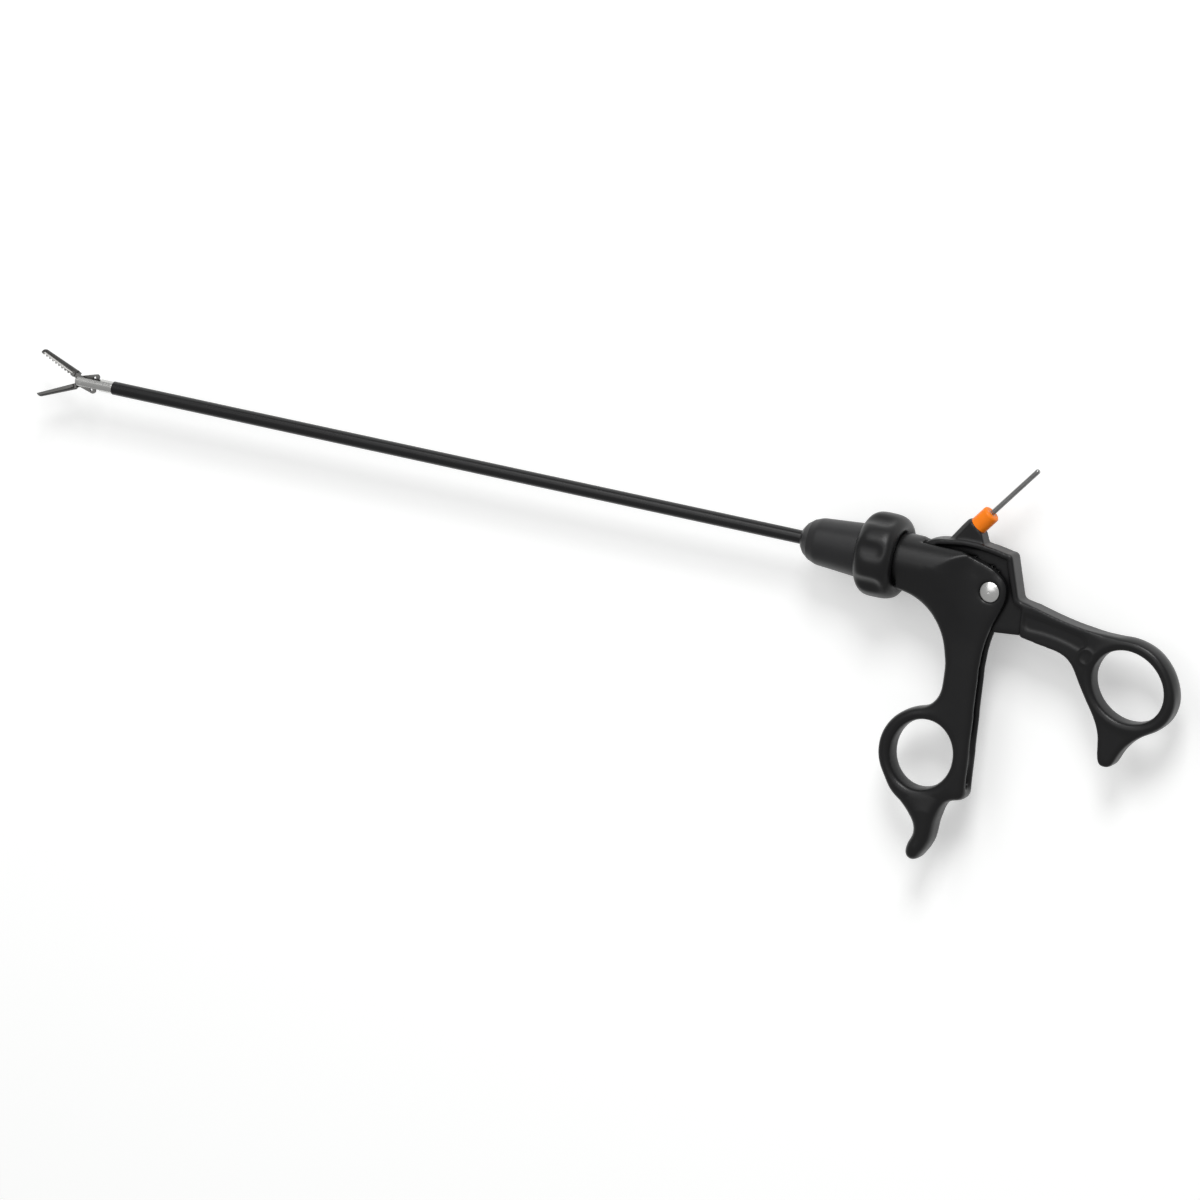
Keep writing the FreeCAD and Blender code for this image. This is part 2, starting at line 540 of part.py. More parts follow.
def jaw_group():
    """Two mirrored jaws, swung open about the clevis pin."""
    shape = jaw_shape()
    for label, over in (("upper_jaw", 0), ("lower_jaw", 180)):
        jaw = doc.addObject("Part::Feature", label + "_solid")
        jaw.Shape = shape
        swing = FreeCAD.Rotation(AXIS_Z, -size("jaw_open_angle") if over == 0 else size("jaw_open_angle"))
        place = V(evaluate(JAW_PIVOT), 0, 0)
        jaw.Placement = FreeCAD.Placement(place, swing.multiply(FreeCAD.Rotation(AXIS_X, over)))
        jaw.setExpression(".Placement.Base.x", cell(JAW_PIVOT))
        keep(jaw, label)


def curve_edge(points, start=None, finish=None):
    """Smooth edge through points, with end directions where they are given."""
    spline = Part.BSplineCurve()
    places = [V(x, y, 0) for x, y in points]
    if start is not None:
        spline.interpolate(places, InitialTangent=V(start[0], start[1], 0), FinalTangent=V(finish[0], finish[1], 0))
    else:
        spline.interpolate(places)
    return spline.toShape()


def line_edge(start, end):
    """Straight edge between two points."""
    return Part.makeLine(V(start[0], start[1], 0), V(end[0], end[1], 0))


def arc_edge(start, middle, end):
    """Arc through three points."""
    return Part.Arc(V(start[0], start[1], 0), V(middle[0], middle[1], 0), V(end[0], end[1], 0)).toShape()


def around(centre, radius, degrees):
    """Point on a circle."""
    angle = math.radians(degrees)
    return (centre[0] + radius * math.cos(angle), centre[1] + radius * math.sin(angle))


def from_point(anchor, across, up):
    """Point at an offset from an anchor."""
    return (anchor[0] + across, anchor[1] + up)


def slab(edges, low, high):
    """Solid between two heights on a closed chain of edges."""
    face = Part.Face(Part.Wire(Part.__sortEdges__(edges)))
    face.translate(V(0, 0, low))
    return face.extrude(V(0, 0, high - low))


def pivot_point():
    """Centre of the handle pivot."""
    return (station("pivot_place"), -size("pivot_drop"))


def oval(centre, long_radius, short_radius, tilt, low, high):
    """Elliptical plug for a ring hole."""
    ellipse = Part.Ellipse(V(0, 0, 0), long_radius, short_radius)
    plug = Part.Face(Part.Wire(ellipse.toShape())).extrude(V(0, 0, high - low))
    plug.Placement = FreeCAD.Placement(V(centre[0], centre[1], low), FreeCAD.Rotation(AXIS_Z, tilt))
    return plug


def handle_outline():
    """Side view of the barrel, cheek, leg, finger ring and hook."""
    pivot = pivot_point()
    ring = (station("finger_ring_place"), -size("finger_ring_drop"))
    outer = size("finger_ring_radius")
    tip = (station("hook_tip_place"), ring[1] - size("hook_tip_below_ring"))
    tip_radius = size("hook_tip_radius")
    barrel = size("barrel_radius")
    front = station("leg_front")
    crotch = size("crotch_radius")
    rear = station("leg_rear")
    heel = (station("leg_rear") + size("heel_kick"), ring[1] - size("heel_below_ring"))
    start = (barrel_front(), -barrel)
    belly = from_point(start, 1.2, 0)
    knee = (front, pivot[1] - 33.0)
    bend = []
    for step in range(9):
        angle = math.radians(90.0 * step / 8)
        bend.append((belly[0] + (front - belly[0]) * math.sin(angle),
                     knee[1] + (belly[1] - knee[1]) * math.cos(angle)))
    across = front - crotch - ring[0]
    centre = (front - crotch, ring[1] + math.sqrt((outer + crotch) ** 2 - across ** 2))
    share = outer / (outer + crotch)
    touch = (ring[0] + across * share, ring[1] + (centre[1] - ring[1]) * share)
    turn = math.degrees(math.atan2(touch[1] - centre[1], touch[0] - centre[0]))
    leave = around(ring, outer, 215)
    hook_left = around(tip, tip_radius, 165)
    hook_right = around(tip, tip_radius, -20)
    round_heel = 2.2
    return [
        line_edge(start, belly), curve_edge(bend, (1, 0), (0, -1)), line_edge(knee, (front, centre[1])),
        arc_edge((front, centre[1]), around(centre, crotch, turn / 2), touch),
        arc_edge(touch, around(ring, outer, 165), leave),
        curve_edge([leave, from_point(ring, -10.4, -14.8), from_point(ring, -3.6, -19.9), from_point(tip, -1.9, 13.2),
                    from_point(tip, 0.1, 8.6), hook_left], (0.57, -0.82), (-0.26, -0.97)),
        arc_edge(hook_left, around(tip, tip_radius, -110), hook_right),
        curve_edge([hook_right, from_point(tip, 5.3, 5.4), from_point(tip, 6.1, 12.6), from_point(tip, 8.4, 18.8),
                    from_point(heel, -round_heel - 1.0, -round_heel)], (0.34, 0.94), (0.97, 0.25)),
        arc_edge(from_point(heel, -round_heel - 1.0, -round_heel), from_point(heel, -0.7, -round_heel * 0.6), heel),
        line_edge(heel, (rear, -38)),
        curve_edge([(rear, -38), (rear + 0.1, -28), from_point(pivot, 2.3, -13), from_point(pivot, 4.9, -6.4),
                    from_point(pivot, 6.6, -1.0), from_point(pivot, 5.9, 3.4), from_point(pivot, 1.4, 7.7),
                    from_point(pivot, -8.2, 11.1), from_point(start, 16.2, 2 * barrel)], (-0.02, 1), (-1, 0.05)),
        line_edge(from_point(start, 16.2, 2 * barrel), (start[0], barrel)), line_edge((start[0], barrel), start)]


def handle_girth():
    """End view of the handle: the round barrel runs down into the flat leg."""
    barrel = size("barrel_radius")
    leg = size("leg_half")
    waist = around((0, 0), barrel, -14)
    low = -size("finger_ring_drop") - size("hook_tip_below_ring") - size("hook_tip_radius") - 5
    right = curve_edge([waist, (leg + 2.3, -barrel), (leg + 0.6, -barrel - 6.5), (leg, -barrel - 13)],
                       (-0.24, -0.97), (0, -1))
    left = right.mirror(V(0, 0, 0), AXIS_X)
    edges = [arc_edge(waist, (0, barrel), (-waist[0], waist[1])), right, left,
             line_edge((leg, -barrel - 13), (leg, low)), line_edge((leg, low), (-leg, low)),
             line_edge((-leg, low), (-leg, -barrel - 13))]
    solid = slab(edges, 0, 200)
    solid.Placement = FreeCAD.Placement(V(0, 0, 0), FreeCAD.Rotation(AXIS_Y, 90))
    return solid


def handle_plan():
    """Top view of the handle: the barrel narrows to the cheeks."""
    wide = size("barrel_radius") + 0.1
    cheek = size("cheek_half")
    front = barrel_front() - 5
    narrow = station("pivot_place") - size("screw_pocket_radius") - 0.6
    far = station("pivot_place") + 30
    start = barrel_front() + 12.2
    places = [(start, wide), (start + 7, wide - 0.9), (narrow - 5, cheek + 0.6), (narrow, cheek)]
    right = curve_edge(places, (1, 0), (1, 0))
    left = right.mirror(V(0, 0, 0), AXIS_Y)
    edges = [line_edge((front, -wide), (front, wide)), line_edge((front, wide), (start, wide)), right,
             line_edge((narrow, cheek), (far, cheek)), line_edge((far, cheek), (far, -cheek)),
             line_edge((far, -cheek), (narrow, -cheek)), left, line_edge((start, -wide), (front, -wide))]
    solid = slab(edges, -30, 150)
    solid.Placement = FreeCAD.Placement(V(0, 0, 0), FreeCAD.Rotation(AXIS_X, 90))
    return solid


def handle_shape():
    """Fixed handle with its bores, the slot of the lever and the open channel of the leg."""
    pivot = pivot_point()
    ring = (station("finger_ring_place"), -size("finger_ring_drop"))
    gap = size("running_gap")
    solid = slab(handle_outline(), -20, 20)
    solid = solid.common(handle_girth()).common(handle_plan())
    solid = solid.cut(oval(ring, size("finger_hole_tall"), size("finger_hole_wide"), 75, -20, 20))
    solid = soften(solid, size("leg_edge"), leg_edges(ring))
    front = barrel_front()
    tail = station("journal_tail")

    def bore(start, end, radius):
        return Part.makeCylinder(radius, end - start, V(start, 0, 0), AXIS_X)

    bush_end = station("bush_tail")
    tools = [bore(front - 1, front + size("bush_flange"), size("bush_flange_radius")),
             bore(front, bush_end, size("bush_radius")),
             bore(bush_end, tail + 0.6, size("ring_radius") + 0.3),
             bore(tail, station("slot_front") + 2, size("rod_radius") + 0.25)]
    knob_clear = size("nose_length") + size("knob_length") + 0.4
    tools.append(bore(front - 1, knob_clear, 30).cut(bore(front - 2, knob_clear + 1, size("barrel_radius"))))
    web = size("channel_half")
    slot_front = station("slot_front")
    tools.append(Part.makeBox(40, size("slot_drop") + 20, web * 2, V(slot_front, -size("slot_drop"), -web)))
    channel = station("channel_floor")
    drop = size("slot_drop")
    low = size("finger_ring_drop") + size("channel_below_ring")
    tools.append(Part.makeBox(30, low - drop + 1, web * 2, V(channel, -low, -web)))
    rim = size("lever_half") + size("rim_slot_gap")
    floor = size("barrel_radius") - 2.85
    rim_front = station("rim_slot_front") + 1.2 - size("rim_slot_gap")
    tools.append(Part.makeBox(slot_front + 0.5 - rim_front, 20, rim * 2, V(rim_front, floor, -rim)))
    pocket = size("screw_pocket_floor")
    for low, high in ((pocket, 20), (-20, -pocket)):
        tools.append(disc(pivot[0], pivot[1], size("screw_pocket_radius"), low, high))
    tools.append(disc(pivot[0], pivot[1], size("screw_radius") + gap, -20, 20))
    return solid.cut(tools).removeSplitter()


def leg_edges(ring):
    """Edges of the leg, finger ring and hook that are rounded."""
    half = size("leg_half")

    def test(edge):
        middle = edge.CenterOfMass
        ends = [vertex.Point for vertex in edge.Vertexes]
        flat = all(abs(abs(point.z) - half) < 1e-3 for point in ends) and abs(abs(middle.z) - half) < 1e-3
        return flat and middle.y < -size("barrel_radius") - 12.9
    return test


def soften(solid, radius, test):
    """Round the edges that pass a test."""
    edges = [edge for edge in solid.Edges if test(edge)]
    return solid.makeFillet(radius, edges) if edges else solid


def handle_group():
    """Fixed handle moulding."""
    handle = doc.addObject("Part::Feature", "finger_handle_solid")
    handle.Shape = handle_shape()
    keep(handle, "finger_handle")


def lever_top():
    """Top and back of the thumb lever, from the rim in the barrel to the tail below the thumb ring."""
    pivot = pivot_point()
    ring = (station("thumb_ring_place"), -size("thumb_ring_drop"))
    barrel = (station("rim_slot_front"), size("barrel_radius"))
    rim_tip = from_point(barrel, 1.4, -1.6)
    brow = from_point(pivot, 4.2, 14.6)
    nape = from_point(pivot, 6.6, 13.0)
    waist = from_point(pivot, 10.4, 0.5)
    shoulder = from_point(pivot, 12.2, -1.1)
    tail = from_point(ring, -4.6, -30.3)
    return rim_tip, [
        curve_edge([rim_tip, from_point(barrel, 4.6, 0.55), from_point(barrel, 8.6, 1.35), from_point(barrel, 14.6, 2.15),
                    from_point(pivot, -4.2, 15.9), brow]),
        arc_edge(brow, from_point(pivot, 5.9, 14.2), nape), line_edge(nape, waist),
        arc_edge(waist, from_point(pivot, 11.0, -0.6), shoulder),
        curve_edge([shoulder, from_point(pivot, 23.6, -3.7), from_point(pivot, 43.4, -6.45),
                    from_point(ring, 0, 16.6), from_point(ring, 7.4, 14.6), from_point(ring, 15.5, 6.4),
                    from_point(ring, 18.3, -2.7), from_point(ring, 15.0, -11.3), from_point(ring, 6.9, -17.2),
                    from_point(ring, -0.2, -25.9), tail], (0.98, -0.17), (-1, 0))], tail


def lever_outline():
    """Side view of the thumb lever."""
    pivot = pivot_point()
    ring = (station("thumb_ring_place"), -size("thumb_ring_drop"))
    rim_tip, top, tail = lever_top()
    chin = from_point(pivot, 10.1, -14.2)
    toe = from_point(pivot, 1.8, -15.0)
    heel = from_point(pivot, -0.2, -10.0)
    throat = (station("slot_front") + 0.3, size("barrel_radius") - 2.65)
    return top + [
        curve_edge([tail, from_point(ring, -7.5, -27.6), from_point(ring, -8.5, -19.8), from_point(ring, -13.9, -9.1),
                    from_point(ring, -19.9, 0.3), from_point(ring, -27.1, 7.0), from_point(ring, -36.4, 9.3), chin],
                   (-1, 0), (-1, -0.12)),
        line_edge(chin, toe), arc_edge(toe, from_point(pivot, 0.2, -13.9), heel),
        line_edge(heel, from_point(pivot, -3.8, -3.0)),
        line_edge(from_point(pivot, -3.8, -3.0), from_point(pivot, -5.2, 3.0)),
        curve_edge([from_point(pivot, -5.2, 3.0), from_point(pivot, -6.6, 7.5), throat]),
        line_edge(throat, (rim_tip[0] - 0.2, throat[1])), line_edge((rim_tip[0] - 0.2, throat[1]), rim_tip)]


def web_pocket(low, high):
    """Space beside the thin web, inside the rim of the lever."""
    pivot = pivot_point()
    width = size("rim_width")
    barrel = (station("rim_slot_front"), size("barrel_radius"))
    step = station("arm_step")
    return slab([
        curve_edge([from_point(barrel, 6.1, -1.25), from_point(barrel, 9.6, 1.35 - width),
                    from_point(barrel, 14.6, 2.2 - width), from_point(pivot, -4.2, 15.9 - width),
                    from_point(pivot, 3.6, 14.6 - width)]),
        arc_edge(from_point(pivot, 3.6, 14.6 - width), from_point(pivot, 4.7, 14.3 - width),
                 from_point(pivot, 6.6 - width, 13.2 - width)),
        line_edge(from_point(pivot, 6.6 - width, 13.2 - width), from_point(pivot, 10.4 - width, -0.2)),
        curve_edge([from_point(pivot, 10.4 - width, -0.2), from_point(pivot, 11.2 - width, -2.0),
                    (step, pivot[1] - 3.4)]),
        line_edge((step, pivot[1] - 3.4), (step, pivot[1] - 7.6)),
        line_edge((step, pivot[1] - 7.6), (step + 0.6, pivot[1] - 18.0)),
        line_edge((step + 0.6, pivot[1] - 18.0), (barrel[0], pivot[1] - 18.0)),
        line_edge((barrel[0], pivot[1] - 18.0), from_point(barrel, 0, -3.35)),
        line_edge(from_point(barrel, 0, -3.35), from_point(barrel, 6.1, -3.35)),
        line_edge(from_point(barrel, 6.1, -3.35), from_point(barrel, 6.1, -1.25))], low, high)


def arm_panel(low, high):
    """Shallow panel in the side of the thumb arm."""
    pivot = pivot_point()
    step = station("arm_step")
    return slab([
        curve_edge([(step + 1.3, pivot[1] - 5.0), from_point(pivot, 22.0, -6.1), from_point(pivot, 36.0, -8.4)]),
        arc_edge(from_point(pivot, 36.0, -8.4), from_point(pivot, 38.3, -11.2), from_point(pivot, 36.0, -13.9)),
        curve_edge([from_point(pivot, 36.0, -13.9), from_point(pivot, 27.0, -11.6), (step + 4.0, pivot[1] - 10.8)]),
        arc_edge((step + 4.0, pivot[1] - 10.8), (step + 1.8, pivot[1] - 9.4), (step + 1.3, pivot[1] - 7.0)),
        line_edge((step + 1.3, pivot[1] - 7.0), (step + 1.3, pivot[1] - 5.0))], low, high)


def pin_frame():
    """Placement whose X axis leaves the post along the contact pin, from the middle of the collar seat."""
    turn = FreeCAD.Rotation(AXIS_Z, size("pin_lean"))
    return FreeCAD.Placement(V(station("collar_place"), size("collar_rise"), 0), turn)


def post_shape():
    """Post that carries the collar and the contact pin."""
    half = size("post_half")
    frame = pin_frame()
    seat_left = frame.multVec(V(0, half + 0.1, 0))
    seat_right = frame.multVec(V(0, -half - 0.1, 0))
    root = size("barrel_radius") + 0.65
    corners = [(station("rim_slot_front") + 9.4, root), (seat_left.x - 1.3, seat_left.y - 0.4),
               (seat_left.x - 0.4, seat_left.y + 0.3), (seat_right.x, seat_right.y),
               (seat_right.x + 1.7, root + 1.0), (seat_right.x + 1.7, root - 0.4)]
    post = prism(corners, -half, half)
    lean = [edge for edge in post.Edges
            if abs(abs(edge.CenterOfMass.z) - half) < 1e-6 and edge.CenterOfMass.x < seat_left.x - 1.4
            and edge.CenterOfMass.y > 11]
    return post.makeChamfer(half * 0.62, lean)


def fork_blank(low, high):
    """Outline of the steel fork block, in its place at rest."""
    hub = size("fork_hub_radius")
    left = wall_plane(False) - size("fork_wall")
    right = wall_plane(True) + size("fork_wall")
    reach = size("fork_reach")
    block = disc(0, 0, hub, low, high).fuse(Part.makeBox(right - left, reach, high - low, V(left, 0, low)))
    block = block.removeSplitter()
    block.Placement = fork_frame()
    return block


def wall_plane(rear):
    """Distance of a wall of the ball slot from the middle of the ball; the slit lets the ball nearer in front."""
    radius = size("ball_radius")
    slit = size("fork_slit_half")
    gap = size("pin_fit")
    return radius + gap if rear else -math.sqrt(radius ** 2 - slit ** 2) - gap


def fork_frame():
    """Placement of the fork: about the pivot, leaning back by half of the lever's travel."""
    pivot = pivot_point()
    return FreeCAD.Placement(V(pivot[0], pivot[1], 0), FreeCAD.Rotation(AXIS_Z, size("lever_travel") / 2))


def bush_outer():
    """Outer radius of the bush on the pivot screw."""
    return size("screw_radius") + size("running_gap") + size("bush_wall")


def fork_shape():
    """Steel fork: the ball rides in its slot and the rod leaves through its slit."""
    half = size("web_half")
    floor = size("pivot_drop") - size("ball_radius") - 0.1
    front = wall_plane(False)
    rear = wall_plane(True)
    slit = size("fork_slit_half")
    reach = size("fork_reach")
    block = fork_blank(-half, half)
    slot = Part.makeBox(rear - front, reach, half * 4, V(front, floor, -half * 2))
    start = V(front - size("fork_wall") * 2 - 1, floor - 0.2, -slit)
    cut = Part.makeBox(size("fork_wall") * 2 + 1, reach, slit * 2, start)
    for tool in (slot, cut):
        tool.Placement = fork_frame()
    bore = disc(pivot_point()[0], pivot_point()[1], bush_outer(), -half * 2, half * 2)
    return block.cut([slot, cut, bore]).removeSplitter()


def strip_shape():
    """Metal strip inside the lever, from the contact pin to the fork."""
    inner = pin_frame().multVec(V(-size("contact_depth"), 0, 0))
    top = fork_frame().multVec(V(0.4, size("fork_reach"), 0))
    side = V(inner.y - top.y, top.x - inner.x, 0).normalize() * 0.9
    toe = top + V(0.3, -1.2, 0)
    corners = [(inner + side), (inner - side), (toe - side), (toe + side)]
    strip = prism([(corner.x, corner.y) for corner in corners], -0.6, 0.6)
    return strip.cut([fork_blank(-5, 5), contact_cylinder(0, 0)])


def contact_cylinder(extra, reach):
    """Thicker root of the contact pin, which is moulded in."""
    depth = size("contact_depth")
    pin = Part.makeCylinder(size("contact_root_radius") + extra, depth + reach, V(-depth, 0, 0), AXIS_X)
    pin.Placement = pin_frame()
    return pin


def lever_shape():
    """Thumb lever moulding round its metal insert."""
    half = size("lever_half")
    web = size("web_half")
    ring = (station("thumb_ring_place"), -size("thumb_ring_drop"))
    solid = slab(lever_outline(), -half, half)
    long, short = size("thumb_hole_long"), size("thumb_hole_short")
    solid = solid.cut(oval(ring, long, short, size("thumb_hole_tilt"), -20, 20))

    panel = size("panel_depth")
    tools = [web_pocket(web, 20), web_pocket(-20, -web), arm_panel(half - panel, 20), arm_panel(-20, panel - half)]
    solid = solid.cut(tools)
    solid = solid.fuse(post_shape())
    window = Part.makeBox(12, size("fork_reach") + 0.2 - 1.2, 20, V(-12, 1.2, -10))
    window.Placement = fork_frame()
    place = V(wall_plane(False), size("fork_reach"), -10)
    ball_way = Part.makeBox(wall_plane(True) - wall_plane(False), 2.0, 20, place)
    ball_way.Placement = fork_frame()
    solid = solid.cut([window, ball_way, fork_blank(-10, 10), strip_shape(), contact_cylinder(0, 5)])
    return solid.removeSplitter()


def lever_group():
    """Thumb lever with its fork, bush, contact pin and collar."""
    pieces = (("thumb_lever", lever_shape()), ("ball_fork", fork_shape()), ("contact_strip", strip_shape()))
    for label, shape in pieces:
        item = doc.addObject("Part::Feature", label + "_solid")
        item.Shape = shape
        keep(item, label)
    pin = turned("contact_pin", [
        ("-#contact_depth", "0"), ("#contact_reach", "0"), ("#contact_reach", "#contact_radius"),
        ("#collar_length", "#contact_radius"), ("#collar_length", "#contact_root_radius"),
        ("-#contact_depth", "#contact_root_radius")])
    rounded(pin, "#contact_reach", "#contact_radius", "#contact_radius * 0.9")
    collar = turned("pin_collar", ring_points("0", "#collar_length", "#contact_root_radius", "#collar_radius"))
    rounded(collar, "#collar_length", "#collar_radius", "#collar_radius * 0.25")
    for item in (pin, collar):
        item.Placement = pin_frame()
        bind(item, Placement__Base__x="~collar_place", Placement__Base__y="#collar_rise",
             Placement__Rotation__Angle="#pin_lean")
    upright_ring("pivot_bush", "#screw_radius + #running_gap", "#screw_radius + #running_gap + #bush_wall",
                 "-#web_half", "#web_half")


def upright_ring(label, inner, outer, low, high):
    """Ring on the pivot axis from two cylinders."""
    rings = []
    for name, radius, extra in (("_outer", outer, "0"), ("_bore", inner, "1")):
        item = doc.addObject("Part::Cylinder", label + name)
        bind(item, Radius=radius, Height="%s - (%s) + 2 * %s" % (high, low, extra),
             Placement__Base__x="~pivot_place", Placement__Base__y="-#pivot_drop",
             Placement__Base__z="%s - %s" % (low, extra))
        rings.append(item)
    cut = doc.addObject("Part::Cut", label + "_cut")
    cut.Base, cut.Tool = rings
    doc.recompute()
    return keep(cut, label)


def domed_head(rim_radius, low, rim, dome):
    """Screw head with a domed top, as a turned solid about Z."""
    profile = [Part.makeLine(V(0, 0, low), V(rim_radius, 0, low)),
               Part.makeLine(V(rim_radius, 0, low), V(rim_radius, 0, low + rim)),
               Part.Arc(V(rim_radius, 0, low + rim), V(rim_radius * 0.55, 0, low + rim + dome * 0.75),
                        V(0, 0, low + rim + dome)).toShape(),
               Part.makeLine(V(0, 0, low + rim + dome), V(0, 0, low))]
    return Part.Face(Part.Wire(profile)).revolve(V(0, 0, 0), AXIS_Z, 360)


def screw_group():
    """Pivot screw from the near cheek and the sleeve nut from the far cheek."""
    pivot = pivot_point()
    floor = size("screw_pocket_floor")
    head = size("screw_head_radius")
    rim = size("screw_head_rim")
    dome = size("screw_dome")
    radius = size("screw_radius")
    overlap = size("nut_overlap")
    screw = domed_head(head, floor, rim, dome)
    screw = screw.fuse(Part.makeCylinder(radius, floor * 2 + overlap, V(0, 0, -floor - overlap))).removeSplitter()
    screw = screw.cut(Part.makeSphere(0.5, V(0, 0, floor + rim + dome + 0.2)))
    nut = domed_head(head, floor, rim, dome).cut(Part.makeCylinder(radius, overlap, V(0, 0, floor)))
    nut = nut.cut(Part.makeBox(head * 4, 0.8, 1.0, V(-head * 2, -0.4, floor + rim + dome - 0.7)))
    for label, shape, turn in (("pivot_screw", screw, 0), ("pivot_nut", nut, 180)):
        item = doc.addObject("Part::Feature", label + "_solid")
        item.Shape = shape
        item.Placement = FreeCAD.Placement(V(pivot[0], pivot[1], 0), FreeCAD.Rotation(AXIS_X, turn))
        bind(item, Placement__Base__x="~pivot_place", Placement__Base__y="-#pivot_drop")
        keep(item, label)


def write_parts():
    """Check every object and write one file for each node."""
    doc.recompute()
    for item in doc.Objects:
        bad = [state for state in item.State if state in ("Invalid", "Error")]
        if bad:
            raise RuntimeError("%s is %s" % (item.Name, bad))
    os.makedirs("parts", exist_ok=True)
    for node in NODES:
        shape = node.Shape
        if shape.isNull() or not shape.isValid() or not shape.Solids:
            raise RuntimeError("%s has no valid solid" % node.Label)
        shape.exportStep(os.path.join("parts", node.Label + ".step"))
        print(node.Label, len(shape.Solids), round(shape.Volume, 2))


shaft_group()
nose_group()
clevis_group()
rod_group()
jaw_group()
handle_group()
lever_group()
screw_group()
write_parts()
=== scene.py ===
"""Studio scene of a laparoscopic grasper: its finishes, shaped mouldings, light and camera."""

from __future__ import annotations

import json
import logging
import math
from dataclasses import dataclass
from enum import Enum
from typing import Any

import bmesh
import bpy
import numpy as np
from mathutils import Matrix, Vector

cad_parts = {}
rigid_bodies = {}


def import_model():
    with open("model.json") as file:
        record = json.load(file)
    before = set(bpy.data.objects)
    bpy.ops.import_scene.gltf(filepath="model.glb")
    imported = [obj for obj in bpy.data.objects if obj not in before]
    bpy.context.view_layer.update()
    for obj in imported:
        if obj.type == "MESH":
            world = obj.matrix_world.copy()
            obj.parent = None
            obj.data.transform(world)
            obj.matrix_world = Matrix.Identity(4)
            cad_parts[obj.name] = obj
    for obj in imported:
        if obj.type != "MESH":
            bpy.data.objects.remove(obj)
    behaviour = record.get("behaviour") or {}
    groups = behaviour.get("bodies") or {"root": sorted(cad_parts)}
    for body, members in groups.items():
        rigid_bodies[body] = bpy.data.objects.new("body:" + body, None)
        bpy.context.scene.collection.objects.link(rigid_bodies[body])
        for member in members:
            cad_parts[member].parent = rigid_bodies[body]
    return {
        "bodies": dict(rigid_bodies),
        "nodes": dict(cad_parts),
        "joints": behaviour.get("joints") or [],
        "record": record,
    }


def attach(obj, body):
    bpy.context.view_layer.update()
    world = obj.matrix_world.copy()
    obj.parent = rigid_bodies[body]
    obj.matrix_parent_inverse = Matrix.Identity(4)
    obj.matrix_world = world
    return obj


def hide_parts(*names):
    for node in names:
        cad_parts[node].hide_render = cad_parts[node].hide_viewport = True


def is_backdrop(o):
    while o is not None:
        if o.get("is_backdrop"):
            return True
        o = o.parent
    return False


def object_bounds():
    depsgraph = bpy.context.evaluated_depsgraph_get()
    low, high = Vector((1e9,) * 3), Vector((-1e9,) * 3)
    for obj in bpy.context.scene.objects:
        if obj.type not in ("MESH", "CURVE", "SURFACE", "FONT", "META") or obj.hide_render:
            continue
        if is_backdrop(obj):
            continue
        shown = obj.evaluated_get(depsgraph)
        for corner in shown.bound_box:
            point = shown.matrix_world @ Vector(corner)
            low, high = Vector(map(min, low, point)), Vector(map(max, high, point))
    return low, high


LOG = logging.getLogger("grasper")
MM = 0.001

# Rounds and lowest height of the relief that flows together, in millimetres
MELT_PASSES = 260
MELT_FLOOR = 4.0

# Points of a mesh closer than this are one, in metres
WELD = 0.000002

# Share of a step that a point takes towards its neighbours
STRIDE = 0.5

# Strength with which a firm zone keeps the flowing relief away
GUARD = 1.2

# Lean at which a ground flat side begins and is full
FLANK_EDGE = 0.80
FLANK_FULL = 0.86

# Noise level at which a handling patch begins and is full
PATCH_EDGE = 0.42
PATCH_FULL = 0.68

# Cells per metre of the noises in the finishes
FINE_GRAIN = 2600.0
BROAD_GRAIN = 260.0
PATCHES = 55.0
GROUND_LINES = 4200.0
GROUND_STREAKS = 700.0

# Scales that draw the lines and streaks out along the shaft
LINE_STRETCH = (0.03, 1.0, 1.0)
STREAK_STRETCH = (0.12, 1.0, 1.0)

# Gap between the floor and the lowest point of the part, in metres
FLOOR_GAP = 0.0002


class Slot(Enum):
    """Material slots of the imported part."""

    MOULDING = "moulding_black"
    NOSE = "nose_black"
    SLEEVE = "sleeve_black"
    TUBE = "tube_steel"
    BRIGHT = "bright_steel"
    JAW = "jaw_steel"
    COLLAR = "collar_orange"
    LINER = "liner_white"
    SEAL = "seal_rubber"


